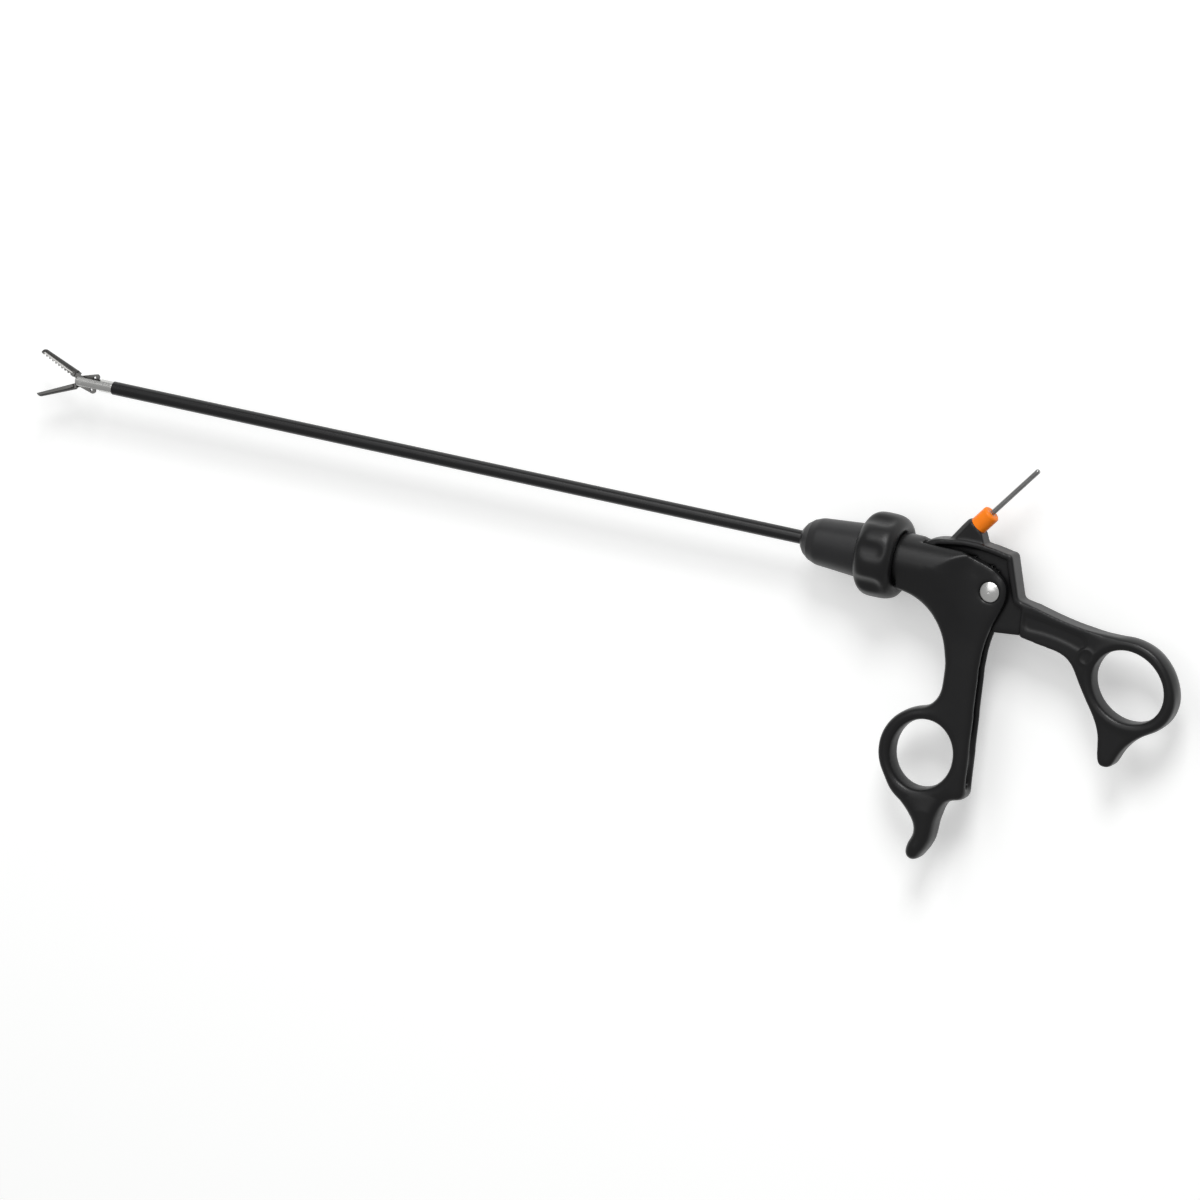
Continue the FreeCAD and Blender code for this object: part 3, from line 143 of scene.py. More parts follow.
class NodeSheet:
    """Small helper that lays out nodes in one shader tree."""

    STEP = 190.0

    def __init__(self, tree: bpy.types.NodeTree) -> None:
        """Keeps the tree that receives the nodes."""
        self.tree = tree
        self.column = 0.0

    def add(self, kind: str, **settings: Any) -> bpy.types.Node:
        """Adds a node and sets its properties.

        Args:
            kind: Type name of the node.
            settings: Properties of the node and their values.

        Returns:
            The new node.
        """
        node = self.tree.nodes.new(kind)
        node.location = (self.column, 0.0)
        self.column += self.STEP
        for name, value in settings.items():
            setattr(node, name, value)
        return node

    def link(self, source: bpy.types.NodeSocket, target: bpy.types.NodeSocket) -> None:
        """Joins an output socket to an input socket."""
        self.tree.links.new(source, target)

    def arithmetic(self, operation: str, first: bpy.types.NodeSocket | float,
                   second: bpy.types.NodeSocket | float) -> bpy.types.NodeSocket:
        """Adds a math node.

        Args:
            operation: Name of the operation.
            first: Socket or number for the first input.
            second: Socket or number for the second input.

        Returns:
            The output socket.
        """
        node = self.add("ShaderNodeMath", operation=operation)
        for index, value in enumerate((first, second)):
            if isinstance(value, bpy.types.NodeSocket):
                self.link(value, node.inputs[index])
            else:
                node.inputs[index].default_value = value
        return node.outputs[0]

    def noise(self, scale: float, detail: float,
              stretch: tuple[float, float, float] = (1, 1, 1)) -> bpy.types.NodeSocket:
        """Adds noise in the object's own space.

        Args:
            scale: Cells per metre.
            detail: Octaves of the noise.
            stretch: Scale of the noise along each axis.

        Returns:
            The factor output.
        """
        place = self.add("ShaderNodeTexCoord")
        mapping = self.add("ShaderNodeMapping")
        mapping.inputs["Scale"].default_value = stretch
        self.link(place.outputs["Object"], mapping.inputs["Vector"])
        node = self.add("ShaderNodeTexNoise")
        node.inputs["Scale"].default_value = scale
        node.inputs["Detail"].default_value = detail
        self.link(mapping.outputs["Vector"], node.inputs["Vector"])
        return node.outputs["Fac"]


class SurfaceGroups:
    """Shader node groups that several finishes share."""

    def __init__(self) -> None:
        """Builds each group once."""
        self.grain = self._grain()
        self.smudge = self._smudge()
        self.brushing = self._brushing()

    @staticmethod
    def _group(name: str, inputs: dict[str, float],
               outputs: tuple[str, ...]) -> tuple[bpy.types.NodeTree, NodeSheet]:
        """Makes an empty group with float sockets.

        Args:
            name: Name of the group.
            inputs: Input names and their default values.
            outputs: Output names.

        Returns:
            The tree and a sheet on it.
        """
        tree = bpy.data.node_groups.new(name, "ShaderNodeTree")
        for label, value in inputs.items():
            socket = tree.interface.new_socket(name=label, in_out="INPUT", socket_type="NodeSocketFloat")
            socket.default_value = value
        for label in outputs:
            tree.interface.new_socket(name=label, in_out="OUTPUT", socket_type="NodeSocketFloat")
        return tree, NodeSheet(tree)

    def _grain(self) -> bpy.types.NodeTree:
        """Fine spark-eroded grain of a moulded surface.

        Returns:
            A group with a Depth input, and Height and Tone outputs.
        """
        tree, sheet = self._group("moulded_grain", {"Depth": 1.0}, ("Height", "Tone"))
        entry = sheet.add("NodeGroupInput")
        fine = sheet.noise(FINE_GRAIN, 3.0)
        broad = sheet.noise(BROAD_GRAIN, 2.0)
        height = sheet.arithmetic("MULTIPLY", fine, entry.outputs["Depth"])
        leave = sheet.add("NodeGroupOutput")
        sheet.link(height, leave.inputs["Height"])
        sheet.link(broad, leave.inputs["Tone"])
        return tree

    def _smudge(self) -> bpy.types.NodeTree:
        """Broad patches where handling has polished or dulled a surface.

        Returns:
            A group with an Amount input and a Mask output.
        """
        tree, sheet = self._group("handling_smudge", {"Amount": 0.5}, ("Mask",))
        entry = sheet.add("NodeGroupInput")
        patches = sheet.noise(PATCHES, 4.0)
        step = sheet.add("ShaderNodeMapRange")
        step.inputs["From Min"].default_value = PATCH_EDGE
        step.inputs["From Max"].default_value = PATCH_FULL
        sheet.link(patches, step.inputs["Value"])
        mask = sheet.arithmetic("MULTIPLY", step.outputs["Result"], entry.outputs["Amount"])
        leave = sheet.add("NodeGroupOutput")
        sheet.link(mask, leave.inputs["Mask"])
        return tree

    def _brushing(self) -> bpy.types.NodeTree:
        """Fine lines left by grinding along the shaft.

        Returns:
            A group with a Depth input, and Height and Tone outputs.
        """
        tree, sheet = self._group("ground_lines", {"Depth": 1.0}, ("Height", "Tone"))
        entry = sheet.add("NodeGroupInput")
        lines = sheet.noise(GROUND_LINES, 4.0, LINE_STRETCH)
        broad = sheet.noise(GROUND_STREAKS, 3.0, STREAK_STRETCH)
        height = sheet.arithmetic("MULTIPLY", lines, entry.outputs["Depth"])
        leave = sheet.add("NodeGroupOutput")
        sheet.link(height, leave.inputs["Height"])
        sheet.link(broad, leave.inputs["Tone"])
        return tree


@dataclass(frozen=True)
class Finish:
    """One surface finish as numbers for the shader.

    Attributes:
        name: Name of the material.
        slot: Material slot of the part that it dresses.
        dark: Linear colour of the darker patches.
        light: Linear colour of the lighter patches.
        rough: Lowest and highest roughness.
        grain: Height of the surface texture in metres.
        metallic: 1 for bare metal.
        lines: True for ground lines in place of grain.
        smudge: Strength of the handling patches.
        specular: Specular level.
        flank: Linear colour of flat sides, where they differ.
    """

    name: str
    slot: Slot
    dark: tuple[float, float, float]
    light: tuple[float, float, float]
    rough: tuple[float, float]
    grain: float
    metallic: float = 0.0
    lines: bool = False
    smudge: float = 0.5
    specular: float = 0.5
    flank: tuple[float, float, float] | None = None

    def build(self, groups: SurfaceGroups) -> bpy.types.Material:
        """Makes the material.

        Args:
            groups: Shared node groups.

        Returns:
            The material.
        """
        material = bpy.data.materials.new(self.name)
        material.use_nodes = True
        tree = material.node_tree
        shader = tree.nodes["Principled BSDF"]
        sheet = NodeSheet(tree)
        shader.inputs["Metallic"].default_value = self.metallic
        shader.inputs["Specular IOR Level"].default_value = self.specular
        texture = sheet.add("ShaderNodeGroup", node_tree=groups.brushing if self.lines else groups.grain)
        texture.inputs["Depth"].default_value = 1.0
        smudge = sheet.add("ShaderNodeGroup", node_tree=groups.smudge)
        smudge.inputs["Amount"].default_value = self.smudge
        colour = sheet.add("ShaderNodeMix", data_type="RGBA")
        colour.inputs["A"].default_value = (*self.dark, 1.0)
        colour.inputs["B"].default_value = (*self.light, 1.0)
        sheet.link(texture.outputs["Tone"], colour.inputs["Factor"])
        shade = colour.outputs["Result"]
        if self.flank is not None:
            shade = self._flanked(sheet, shade)
        sheet.link(shade, shader.inputs["Base Color"])
        rough = sheet.add("ShaderNodeMapRange")
        rough.inputs["To Min"].default_value = self.rough[0]
        rough.inputs["To Max"].default_value = self.rough[1]
        sheet.link(smudge.outputs["Mask"], rough.inputs["Value"])
        sheet.link(rough.outputs["Result"], shader.inputs["Roughness"])
        bump = sheet.add("ShaderNodeBump")
        bump.inputs["Strength"].default_value = 1.0
        bump.inputs["Distance"].default_value = self.grain
        sheet.link(texture.outputs["Height"], bump.inputs["Height"])
        sheet.link(bump.outputs["Normal"], shader.inputs["Normal"])
        return material

    def _flanked(self, sheet: NodeSheet, shade: bpy.types.NodeSocket) -> bpy.types.NodeSocket:
        """Gives the ground flat sides their own colour.

        Args:
            sheet: Sheet of the material.
            shade: Colour of the other faces.

        Returns:
            The mixed colour.
        """
        place = sheet.add("ShaderNodeTexCoord")
        parts = sheet.add("ShaderNodeSeparateXYZ")
        sheet.link(place.outputs["Normal"], parts.inputs["Vector"])
        side = sheet.arithmetic("ABSOLUTE", parts.outputs["Z"], 0.0)
        step = sheet.add("ShaderNodeMapRange")
        step.inputs["From Min"].default_value = FLANK_EDGE
        step.inputs["From Max"].default_value = FLANK_FULL
        sheet.link(side, step.inputs["Value"])
        mix = sheet.add("ShaderNodeMix", data_type="RGBA")
        mix.inputs["B"].default_value = (*self.flank, 1.0)
        sheet.link(step.outputs["Result"], mix.inputs["Factor"])
        sheet.link(shade, mix.inputs["A"])
        return mix.outputs["Result"]


FINISHES = (
    Finish("satin_moulding", Slot.MOULDING, (0.0045, 0.0045, 0.005), (0.0065, 0.0065, 0.007), (0.34, 0.44),
           grain=0.00002, specular=0.36),
    Finish("nose_moulding", Slot.NOSE, (0.015, 0.015, 0.016), (0.020, 0.020, 0.021), (0.38, 0.46),
           grain=0.00002, specular=0.36),
    Finish("shrunk_sleeve", Slot.SLEEVE, (0.0045, 0.0045, 0.005), (0.006, 0.006, 0.0065), (0.26, 0.34),
           grain=0.000004, specular=0.42),
    Finish("ground_steel", Slot.TUBE, (0.50, 0.50, 0.49), (0.74, 0.74, 0.72), (0.22, 0.30),
           metallic=1.0, grain=0.000006, lines=True),
    Finish("turned_steel", Slot.BRIGHT, (0.64, 0.64, 0.63), (0.80, 0.80, 0.79), (0.26, 0.34),
           metallic=1.0, grain=0.000004, lines=True),
    Finish("blasted_jaw_steel", Slot.JAW, (0.045, 0.044, 0.043), (0.09, 0.088, 0.085), (0.34, 0.46),
           metallic=1.0, grain=0.00001, flank=(0.34, 0.335, 0.325)),
    Finish("orange_collar", Slot.COLLAR, (0.94, 0.205, 0.003), (0.98, 0.235, 0.005), (0.42, 0.50),
           grain=0.00001, smudge=0.2, specular=0.3),
    Finish("white_liner", Slot.LINER, (0.72, 0.72, 0.70), (0.80, 0.80, 0.78), (0.40, 0.50),
           grain=0.000005),
    Finish("black_seal", Slot.SEAL, (0.012, 0.012, 0.012), (0.018, 0.018, 0.018), (0.60, 0.70),
           grain=0.00001))

DRAWN_STEEL = Finish("drawn_steel", Slot.BRIGHT, (0.24, 0.24, 0.24), (0.42, 0.42, 0.415), (0.24, 0.32),
                     metallic=1.0, grain=0.000004, lines=True)


@dataclass
class Camera:
    """Camera at the photograph's place, worked out from the view of the part.

    Attributes:
        tilt: Angle between the line of sight and the part's Z axis, in degrees.
        heading: Direction of that tilt about Z, from +X, in degrees.
        distance: Distance from the origin plane, in metres.
        scale: Pixels per millimetre at the origin.
        origin_pixel: Where the origin shows.
        slope: Fall of the shaft across the picture.
        picture: Width of the square picture, in pixels.
        sensor: Width of the sensor, in millimetres.
        reach: Farthest place that it shows, in metres.
    """

    tilt: float = 25.0
    heading: float = 30.0
    distance: float = 3.0
    scale: float = 2.80
    origin_pixel: tuple[float, float] = (803.0, 537.5)
    slope: float = 0.222
    picture: float = 1200.0
    sensor: float = 36.0
    reach: float = 20.0

    def build(self) -> bpy.types.Object:
        """Adds the camera and makes it the scene's own.

        Returns:
            The camera object.
        """
        tilt = math.radians(self.tilt)
        heading = math.radians(self.heading)
        back = Vector((math.cos(heading), math.sin(heading), 0.0)) * math.sin(tilt)
        back.z = math.cos(tilt)
        level = Vector((0, 1, 0)).cross(back).normalized()
        upright = back.cross(level)
        run = Vector((-1, 0, 0))
        fall = math.atan2(run.dot(upright), -run.dot(level))
        roll = fall - math.atan(self.slope)
        right = level * math.cos(roll) - upright * math.sin(roll)
        up = level * math.sin(roll) + upright * math.cos(roll)
        focal = self.scale * self.distance / MM
        middle = self.picture / 2
        shift_right = (self.origin_pixel[0] - middle) / focal * self.distance
        shift_up = -(self.origin_pixel[1] - middle) / focal * self.distance
        place = back * self.distance - right * shift_right - up * shift_up
        data = bpy.data.cameras.new("camera")
        data.lens = focal / self.picture * self.sensor
        data.sensor_width = self.sensor
        data.clip_end = self.reach
        camera = bpy.data.objects.new("camera", data)
        bpy.context.scene.collection.objects.link(camera)
        turn = Matrix((right, up, back)).transposed().to_4x4()
        camera.matrix_world = Matrix.Translation(place) @ turn
        bpy.context.scene.camera = camera
        return camera


@dataclass(frozen=True)
class Lamp:
    """One soft lamp.

    Attributes:
        name: Name of the lamp.
        place: Place in metres.
        size: Width in metres.
        power: Power in watts.
        shape: Length over width.
    """

    name: str
    place: tuple[float, float, float]
    size: float
    power: float
    shape: float = 1.0

    def build(self, aim: tuple[float, float, float]) -> None:
        """Hangs the lamp up and points it.

        Args:
            aim: Place that it points at, in metres.
        """
        data = bpy.data.lights.new(self.name, "AREA")
        data.shape = "RECTANGLE"
        data.size = self.size
        data.size_y = self.size * self.shape
        data.energy = self.power
        lamp = bpy.data.objects.new(self.name, data)
        bpy.context.scene.collection.objects.link(lamp)
        ray = Vector(aim) - Vector(self.place)
        lamp.matrix_world = Matrix.Translation(self.place) @ ray.to_track_quat("-Z", "Y").to_matrix().to_4x4()


@dataclass
class Studio:
    """Pale floor, world and soft lamps.

    Attributes:
        floor_size: Width of the floor in metres.
        floor_colour: Linear colour of the floor.
        floor_lift: Emission that brings the floor to white for the camera.
        floor_rough: Roughness of the floor.
        floor_specular: Specular level of the floor.
        world_level: Strength of the even light all round.
        aim: Place that the lamps point at, in metres.
        lamps: The lamps.
    """

    floor_size: float = 12.0
    floor_colour: tuple[float, float, float] = (0.88, 0.885, 0.88)
    floor_lift: float = 0.30
    floor_rough: float = 0.9
    floor_specular: float = 0.1
    world_level: float = 0.40
    aim: tuple[float, float, float] = (-0.05, -0.02, 0.0)
    lamps: tuple[Lamp, ...] = (
        Lamp("key_softbox", (0.30, 1.35, 1.15), 0.62, 16.0),
        Lamp("overhead_softbox", (-0.3, 0.6, 1.8), 1.3, 6.0),
        Lamp("side_strip", (-0.5, 1.0, 0.9), 0.4, 2.0, 1.6))

    def build(self, lowest: float) -> None:
        """Sets up floor, world and lamps.

        Args:
            lowest: Height of the floor in metres.
        """
        self._floor(lowest)
        self._world()
        for lamp in self.lamps:
            lamp.build(self.aim)
        bpy.context.scene.view_settings.view_transform = "Standard"

    @staticmethod
    def _seen(sheet: NodeSheet) -> bpy.types.NodeSocket:
        """Adds up the rays that see the background.

        Args:
            sheet: Sheet of the tree.

        Returns:
            A socket that is 1 for camera, glossy and transmission rays.
        """
        path = sheet.add("ShaderNodeLightPath")
        total = sheet.arithmetic("ADD", path.outputs["Is Camera Ray"], path.outputs["Is Glossy Ray"])
        total = sheet.arithmetic("ADD", total, path.outputs["Is Transmission Ray"])
        return sheet.arithmetic("MINIMUM", total, 1.0)

    def _floor(self, lowest: float) -> None:
        """Adds the floor.

        Args:
            lowest: Height of the floor in metres.
        """
        mesh = bpy.data.meshes.new("floor")
        half = self.floor_size / 2
        corners = [(-half, -half, lowest), (half, -half, lowest), (half, half, lowest), (-half, half, lowest)]
        mesh.from_pydata(corners, [], [(0, 1, 2, 3)])
        floor = bpy.data.objects.new("floor", mesh)
        bpy.context.scene.collection.objects.link(floor)
        material = bpy.data.materials.new("floor_paper")
        material.use_nodes = True
        sheet = NodeSheet(material.node_tree)
        shader = material.node_tree.nodes["Principled BSDF"]
        shader.inputs["Base Color"].default_value = (*self.floor_colour, 1.0)
        shader.inputs["Roughness"].default_value = self.floor_rough
        shader.inputs["Specular IOR Level"].default_value = self.floor_specular
        shader.inputs["Emission Color"].default_value = (1.0, 1.0, 1.0, 1.0)
        lift = sheet.arithmetic("MULTIPLY", self._seen(sheet), self.floor_lift)
        sheet.link(lift, shader.inputs["Emission Strength"])
        mesh.materials.append(material)
        floor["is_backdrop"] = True

    def _world(self) -> None:
        """Sets an even light all round that shows white to the camera."""
        world = bpy.data.worlds.new("studio")
        world.use_nodes = True
        bpy.context.scene.world = world
        sheet = NodeSheet(world.node_tree)
        background = world.node_tree.nodes["Background"]
        background.inputs["Color"].default_value = (1.0, 1.0, 1.0, 1.0)
        path = sheet.add("ShaderNodeLightPath")
        strength = sheet.arithmetic("MULTIPLY", path.outputs["Is Camera Ray"], 1.0 - self.world_level)
        strength = sheet.arithmetic("ADD", strength, self.world_level)
        sheet.link(strength, background.inputs["Strength"])


@dataclass(frozen=True)
class Zone:
    """Round zone of a moulding, seen from the side, where a change is made.

    Attributes:
        place: Middle of the zone in millimetres.
        radius: Radius of the zone in millimetres.
        strength: Strength in the middle, from 0 to 1, or a height in millimetres.
        fade: Width over which the zone fades out, in millimetres.
    """

    place: tuple[float, float]
    radius: float
    strength: float
    fade: float

    def share(self, places: np.ndarray) -> np.ndarray:
        """Measures the zone's strength at every point, from places in millimetres."""
        away = np.hypot(places[:, 0] - self.place[0], places[:, 1] - self.place[1]) - self.radius
        return self.strength * np.clip(1.0 - away / self.fade, 0.0, 1.0)


@dataclass(frozen=True)
class Lip:
    """Raised oval lip around a finger hole, alike on both sides, in millimetres.

    Attributes:
        centre: Middle of the hole.
        axes: Half length and half width of the lip's middle line.
        tilt: Turn of the longer axis in degrees.
        width: Width of the lip.
        crown: Distance of its crown from the middle plane.
        steps: Sections round the hole.
        sides: Points round each section.
    """

    centre: tuple[float, float]
    axes: tuple[float, float]
    tilt: float
    width: float
    crown: float
    steps: int = 96
    sides: int = 16

    def build(self, form: bmesh.types.BMesh) -> None:
        """Adds the lip to a mesh.

        Args:
            form: Mesh that receives it.
        """
        rows = [self._section(form, 2.0 * math.pi * step / self.steps) for step in range(self.steps)]
        for step, first in enumerate(rows):
            second = rows[(step + 1) % self.steps]
            for side in range(self.sides):
                beyond = (side + 1) % self.sides
                form.faces.new((first[side], second[side], second[beyond], first[beyond]))

    def _section(self, form: bmesh.types.BMesh, turn: float) -> list[bmesh.types.BMVert]:
        """Adds the points of one section.

        Args:
            form: Mesh that receives them.
            turn: Place of the section round the hole, in radians.

        Returns:
            The points in order.
        """
        lean = math.radians(self.tilt)
        along = self.axes[0] * math.cos(turn)
        across = self.axes[1] * math.sin(turn)
        out = Vector((self.axes[1] * math.cos(turn), self.axes[0] * math.sin(turn), 0.0)).normalized()
        row = []
        for side in range(self.sides):
            swing = 2.0 * math.pi * side / self.sides
            reach = 0.5 * self.width * math.cos(swing)
            u = along + out.x * reach
            v = across + out.y * reach
            x = self.centre[0] + u * math.cos(lean) - v * math.sin(lean)
            y = self.centre[1] + u * math.sin(lean) + v * math.cos(lean)
            row.append(form.verts.new((x * MM, y * MM, self.crown * math.sin(swing) * MM)))
        return row


@dataclass(frozen=True)
class Skin:
    """How the forms of a moulding are blended and rounded.

    Attributes:
        voxel: Size of the blend's cells in millimetres.
        passes: Rounds of smoothing.
        firm: Places with firmer edges.
        melts: Places whose relief flows together, with the outline kept.
        swells: Places that stand out, with the height as their strength.
        free: Share of the smoothing that reaches places in no firm zone.
    """

    voxel: float
    passes: int
    firm: tuple[Zone, ...] = ()
    melts: tuple[Zone, ...] = ()
    swells: tuple[Zone, ...] = ()
    free: float = 0.9

    @staticmethod
    def strongest(zones: tuple[Zone, ...], places: np.ndarray) -> np.ndarray:
        """Finds the strongest of several zones at every point.

        Args:
            zones: The zones.
            places: Places of the points in millimetres.

        Returns:
            The strengths, 0 outside all zones.
        """
        shares = [zone.share(places) for zone in zones]
        return np.max(shares, axis=0) if shares else np.zeros(len(places))


class Net:
    """Which points of a mesh are neighbours."""

    def __init__(self, mesh: bpy.types.Mesh) -> None:
        """Reads the edges of the mesh.

        Args:
            mesh: The mesh.
        """
        edges = np.empty(len(mesh.edges) * 2, dtype=np.int64)
        mesh.edges.foreach_get("vertices", edges)
        self.count = len(mesh.vertices)
        self.first, self.second = edges.reshape(-1, 2).T
        self.near = np.bincount(edges, minlength=self.count).astype(float)

    def relax(self, places: np.ndarray, axis: int, share: np.ndarray) -> None:
        """Moves every point along one axis towards the middle of its neighbours.

        Args:
            places: Places of the points, which it changes.
            axis: Number of the axis.
            share: How far each point may follow.
        """
        line = places[:, axis]
        total = np.bincount(self.first, weights=line[self.second], minlength=self.count)
        total += np.bincount(self.second, weights=line[self.first], minlength=self.count)
        places[:, axis] = line + STRIDE * share * (total / self.near - line)


class Moulding:
    """Moulded piece with rounded edges that stands for one node of the part."""

    def __init__(self, name: str, node: bpy.types.Object, body: str, slot: Slot) -> None:
        """Starts the piece as a copy of the node's shape.

        Args:
            name: Name of the piece.
            node: Node that it stands for.
            body: Body that carries it.
            slot: Material slot.
        """
        self.mesh = bpy.data.meshes.new(name)
        self.piece = bpy.data.objects.new(name, self.mesh)
        bpy.context.scene.collection.objects.link(self.piece)
        self.form = bmesh.new()
        self.form.from_mesh(node.data)
        self.node = node
        self.body = body
        self.slot = slot

    def block(self, corners: tuple[tuple[float, float], ...], half: float) -> None:
        """Adds a flat form that fills out the outline, alike on both sides.

        Args:
            corners: Its corners in millimetres, seen from the side.
            half: Half of its thickness in millimetres.
        """
        rows = [[self.form.verts.new((x * MM, y * MM, z * MM)) for x, y in corners] for z in (-half, half)]
        self.form.faces.new(rows[0])
        self.form.faces.new(rows[1])
        for index in range(len(corners)):
            beyond = (index + 1) % len(corners)
            self.form.faces.new((rows[0][index], rows[0][beyond], rows[1][beyond], rows[1][index]))

    def finish(self, skin: Skin) -> bpy.types.Object:
        """Blends all forms into one skin, rounds its edges and hangs it on its body.

        Args:
            skin: How the forms are blended and rounded.

        Returns:
            The piece.
        """
        self._blend(skin.voxel)
        places = self._vectors("co") / MM
        self._round(places, skin)
        self.mesh.polygons.foreach_set("use_smooth", [True] * len(self.mesh.polygons))
        self._place(places)
        if skin.swells:
            rise = sum(swell.share(places) for swell in skin.swells)
            places += self._vectors("normal") * rise[:, None]
            self._place(places)
        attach(self.piece, self.body)
        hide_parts(self.node.name)
        return self.piece

    def _blend(self, voxel: float) -> None:
        """Joins all forms into one closed skin.

        Args:
            voxel: Size of the blend's cells in millimetres.
        """
        bmesh.ops.remove_doubles(self.form, verts=self.form.verts, dist=WELD)
        self.form.to_mesh(self.mesh)
        self.form.free()
        blend = self.piece.modifiers.new("blend", "REMESH")
        blend.mode = "VOXEL"
        blend.voxel_size = voxel * MM
        graph = bpy.context.evaluated_depsgraph_get()
        self.mesh = bpy.data.meshes.new_from_object(self.piece.evaluated_get(graph))
        self.piece.modifiers.clear()
        self.piece.data = self.mesh

    def _round(self, places: np.ndarray, skin: Skin) -> None:
        """Lets the relief flow together and rounds the edges.

        Args:
            places: Places of the points in millimetres, which it changes.
            skin: How the forms are blended and rounded.
        """
        net = Net(self.mesh)
        hold = skin.strongest(skin.firm, places)
        free = skin.free * (1.0 - hold)
        if skin.melts:
            soft = skin.strongest(skin.melts, places) * np.maximum(0.0, 1.0 - GUARD * hold)
            soft = np.where(np.abs(places[:, 2]) > MELT_FLOOR, soft, 0.0)
            for _ in range(MELT_PASSES):
                net.relax(places, 2, soft)
        for _ in range(skin.passes):
            for axis in range(3):
                net.relax(places, axis, free)

    def _vectors(self, name: str) -> np.ndarray:
        """Reads a vector of every point.

        Args:
            name: Name of the vector, such as co or normal.

        Returns:
            One row for each point.
        """
        values = np.empty(len(self.mesh.vertices) * 3)
        self.mesh.vertices.foreach_get(name, values)
        return values.reshape(-1, 3)

    def _place(self, places: np.ndarray) -> None:
        """Moves every point to its place in millimetres."""
        self.mesh.vertices.foreach_set("co", (places * MM).ravel())
        self.mesh.update()


class Workbench:
    """Nodes of the part and the finishes for them."""

    def __init__(self, frame: dict[str, Any]) -> None:
        """Keeps the frame and builds the finishes.
        """
        self.frame = frame
        groups = SurfaceGroups()
        self.materials = {finish.slot: finish.build(groups) for finish in FINISHES}
        self.drawn_steel = DRAWN_STEEL.build(groups)
        self.slots = {piece["node"]: Slot(piece["material_slot"]) for piece in frame["record"]["subparts"]}

    def node(self, name: str) -> bpy.types.Object:
        """Finds a node of the part by its name."""
        return self.frame["nodes"][name]

    def keep(self, name: str) -> None:
        """Gives the node of that name its finish."""
        for slot in self.node(name).material_slots:
            slot.material = self.materials[self.slots[name]]

    def paint(self, piece: bpy.types.Object, slot: Slot) -> None:
        """Gives a new piece the finish of a slot."""
        piece.data.materials.clear()
        piece.data.materials.append(self.materials[slot])


@dataclass
class SubAssembly:
    """Group of pieces, of which some nodes are shown as they are.

    Attributes:
        kept: Names of those nodes.
    """

    kept: tuple[str, ...] = ()

    def build(self, bench: Workbench) -> list[str]:
        """Dresses the kept nodes.

        Args:
            bench: Nodes and finishes of the part.

        Returns:
            Names of the pieces that are ready.
        """
        for name in self.kept:
            bench.keep(name)
        return list(self.kept)

    def mould(self, bench: Workbench, moulding: Moulding, skin: Skin) -> list[str]:
        """Finishes and dresses a moulding, and then the kept nodes.

        Args:
            bench: Nodes and finishes of the part.
            moulding: The moulding with all its forms.
            skin: How its forms are blended and rounded.

        Returns:
            Names of the pieces that are ready.
        """
        piece = moulding.finish(skin)
        bench.paint(piece, moulding.slot)
        return [piece.name, *SubAssembly.build(self, bench)]


@dataclass
class FixedHandle(SubAssembly):
    """Barrel, leg and finger ring of the fixed half of the handle, in millimetres.

    Attributes:
        kept: Names of the nodes that are shown as they are.
        lip: Lip round the finger hole.
        skin: Blend that is firm round the screw, the rim's slot, the barrel's mouth and the cheek's top.
            The barrel flows into the cheek and the leg, and the hook is fuller.
    """

    kept: tuple[str, ...] = ("journal_bush",)
    lip: Lip = Lip((57.2, -67.3), (14.9, 13.9), 90.0, 4.6, 5.3)
    skin: Skin = Skin(
        0.42, 60,
        firm=(Zone((74.4, -4.0), 4.6, 0.97, 1.6), Zone((57.0, 9.6), 10.0, 0.86, 2.5),
              Zone((40.0, 0.0), 9.0, 0.9, 4.0), Zone((70.0, 6.0), 5.0, 0.84, 3.0)),
        melts=(Zone((59.0, -4.0), 9.0, 1.0, 5.0), Zone((66.0, -14.0), 7.0, 1.0, 4.0)),
        swells=(Zone((61.5, -94.0), 7.0, 0.85, 6.0), Zone((58.9, -103.4), 2.0, 0.3, 4.0)))

    def build(self, bench: Workbench) -> list[str]:
        """Builds the moulding and dresses it.

        Args:
            bench: Nodes and finishes of the part.

        Returns:
            Names of the pieces that are ready.
        """
        moulding = Moulding("handle_moulding", bench.node("finger_handle"), "root", Slot.MOULDING)
        self.lip.build(moulding.form)
        return self.mould(bench, moulding, self.skin)


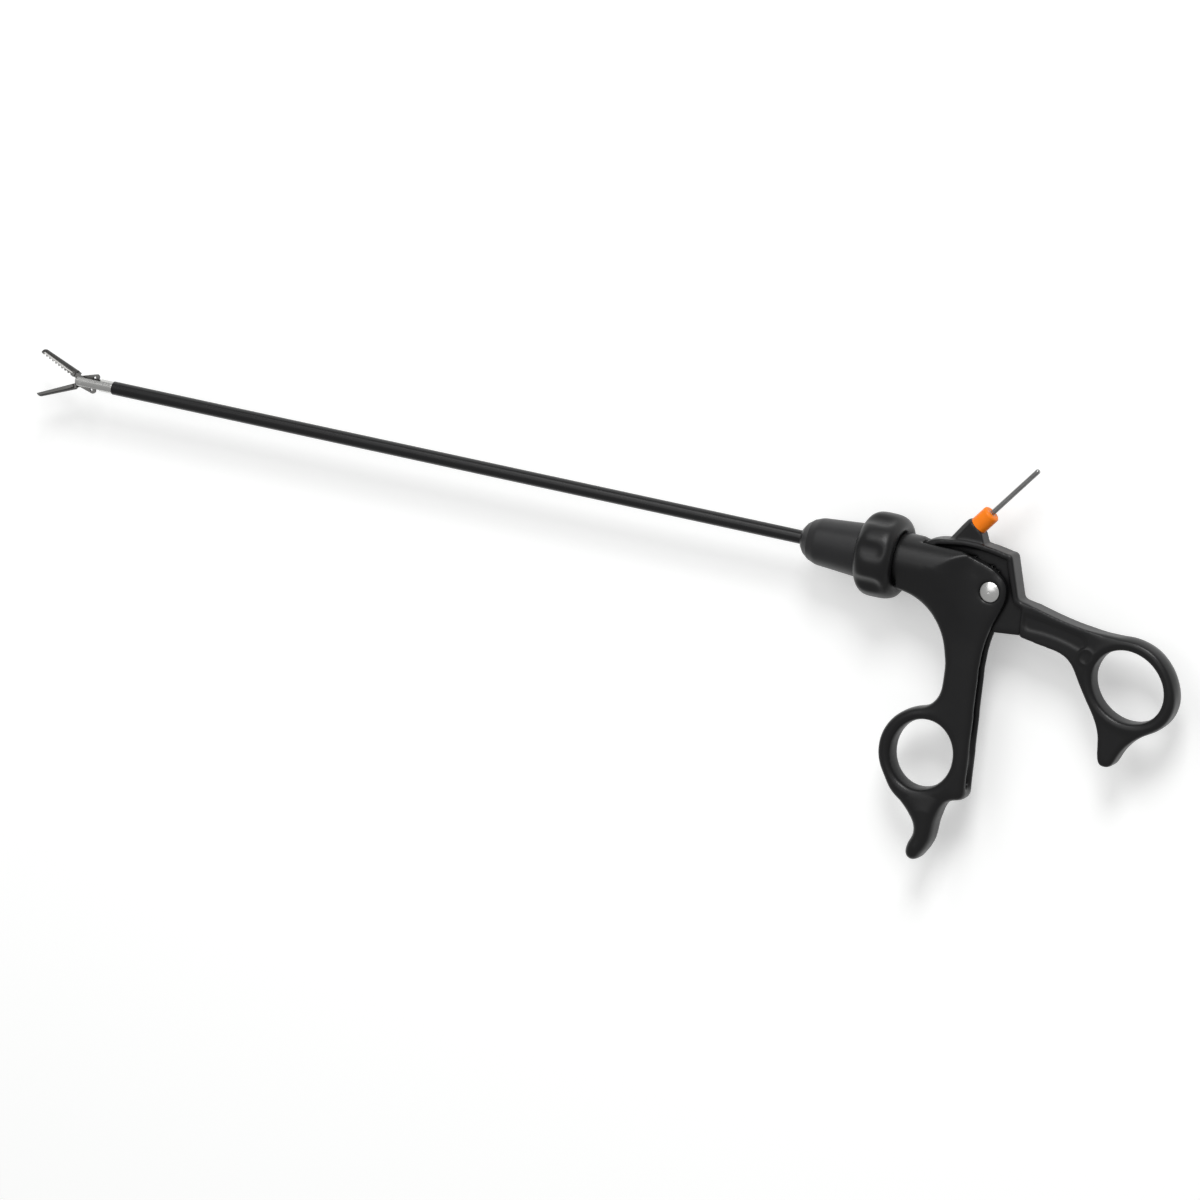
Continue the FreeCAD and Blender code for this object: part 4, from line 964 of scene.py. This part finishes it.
@dataclass
class ThumbLever(SubAssembly):
    """Rim, web, arm and thumb ring of the moving half of the handle, in millimetres.

    Attributes:
        kept: Names of the nodes that are shown as they are.
        underside: Corners of the smooth underside where the arm leaves the web.
        half: Half of the arm's thickness.
        lip: Lip round the thumb hole.
        mark: Faint round mark beside the thumb ring.
        skin: Blend that is firm at the web and rim, the arm's panel, the step between them and the mark.
    """

    kept: tuple[str, ...] = ("ball_fork", "contact_strip", "pivot_bush")
    underside: tuple[tuple[float, float], ...] = (
        (87.2, -17.9), (90.0, -18.2), (93.2, -18.65), (96.0, -19.1), (100.0, -19.8), (100.0, -15.5),
        (87.7, -15.5))
    half: float = 4.25
    lip: Lip = Lip((129.84, -27.26), (16.5, 14.4), -31.2, 4.8, 4.75)
    mark: Lip = Lip((113.2, -19.6), (2.7, 2.7), 0.0, 1.7, 4.95)
    skin: Skin = Skin(
        0.36, 50,
        firm=(Zone((68.0, 1.0), 18.0, 0.86, 3.0), Zone((101.0, -12.5), 12.0, 0.9, 5.0),
              Zone((89.0, -11.0), 4.0, 0.9, 4.0), Zone((113.2, -19.6), 4.0, 0.72, 1.5)))

    def build(self, bench: Workbench) -> list[str]:
        """Builds the moulding and dresses it.

        Args:
            bench: Nodes and finishes of the part.

        Returns:
            Names of the pieces that are ready.
        """
        moulding = Moulding("lever_moulding", bench.node("thumb_lever"), "lever", Slot.MOULDING)
        moulding.block(self.underside, self.half)
        self.lip.build(moulding.form)
        self.mark.build(moulding.form)
        return self.mould(bench, moulding, self.skin)


@dataclass
class TurningKnob(SubAssembly):
    """Fluted knob with its hub, and the domed nose in front of it.

    Attributes:
        kept: Names of the nodes that are shown as they are.
        skin: Even blend of the flutes.
    """

    kept: tuple[str, ...] = ("nose_cone", "knob_hub", "hub_retaining_ring", "hub_o_ring", "knob_set_screw")
    skin: Skin = Skin(0.36, 80)

    def build(self, bench: Workbench) -> list[str]:
        """Builds the knob and dresses it.

        Args:
            bench: Nodes and finishes of the part.

        Returns:
            Names of the pieces that are ready.
        """
        moulding = Moulding("knob_moulding", bench.node("rotation_knob"), "shaft", Slot.MOULDING)
        return self.mould(bench, moulding, self.skin)


@dataclass
class ShaftAndSleeve(SubAssembly):
    """Insulated tube with the rod inside it.

    Attributes:
        kept: Names of its nodes from the outside in.
    """

    kept: tuple[str, ...] = (
        "insulation_sleeve", "outer_tube", "rod_liner", "rod_seal", "pull_rod", "rod_ball")


@dataclass
class JawEnd(SubAssembly):
    """Clevis, jaws and the drive between them.

    Attributes:
        kept: Names of its nodes.
    """

    kept: tuple[str, ...] = ("clevis", "upper_jaw", "lower_jaw", "jaw_pivot_pin", "drive_blade", "drive_pin")


@dataclass
class PivotAndContact(SubAssembly):
    """Pivot screw and nut, and the contact pin with its collar.

    Attributes:
        kept: Names of its nodes.
        drawn: Node of drawn steel, which is darker than its slot.
    """

    kept: tuple[str, ...] = ("pivot_screw", "pivot_nut", "contact_pin", "pin_collar")
    drawn: str = "contact_pin"

    def build(self, bench: Workbench) -> list[str]:
        """Dresses the nodes and gives the pin its own steel.

        Args:
            bench: Nodes and finishes of the part.

        Returns:
            Names of the pieces that are ready.
        """
        ready = super().build(bench)
        for slot in bench.node(self.drawn).material_slots:
            slot.material = bench.drawn_steel
        return ready


def main() -> None:
    """Builds the scene."""
    logging.basicConfig(level=logging.INFO, format="%(name)s: %(message)s")
    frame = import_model()
    cad_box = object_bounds()
    bench = Workbench(frame)
    for part in (FixedHandle(), ThumbLever(), TurningKnob(), ShaftAndSleeve(), JawEnd(), PivotAndContact()):
        for name in part.build(bench):
            LOG.info("%s: %s is ready", type(part).__name__, name)
    Studio().build(float(cad_box[0][2]) - FLOOR_GAP)
    Camera().build()


if __name__ == "__main__":
    main()
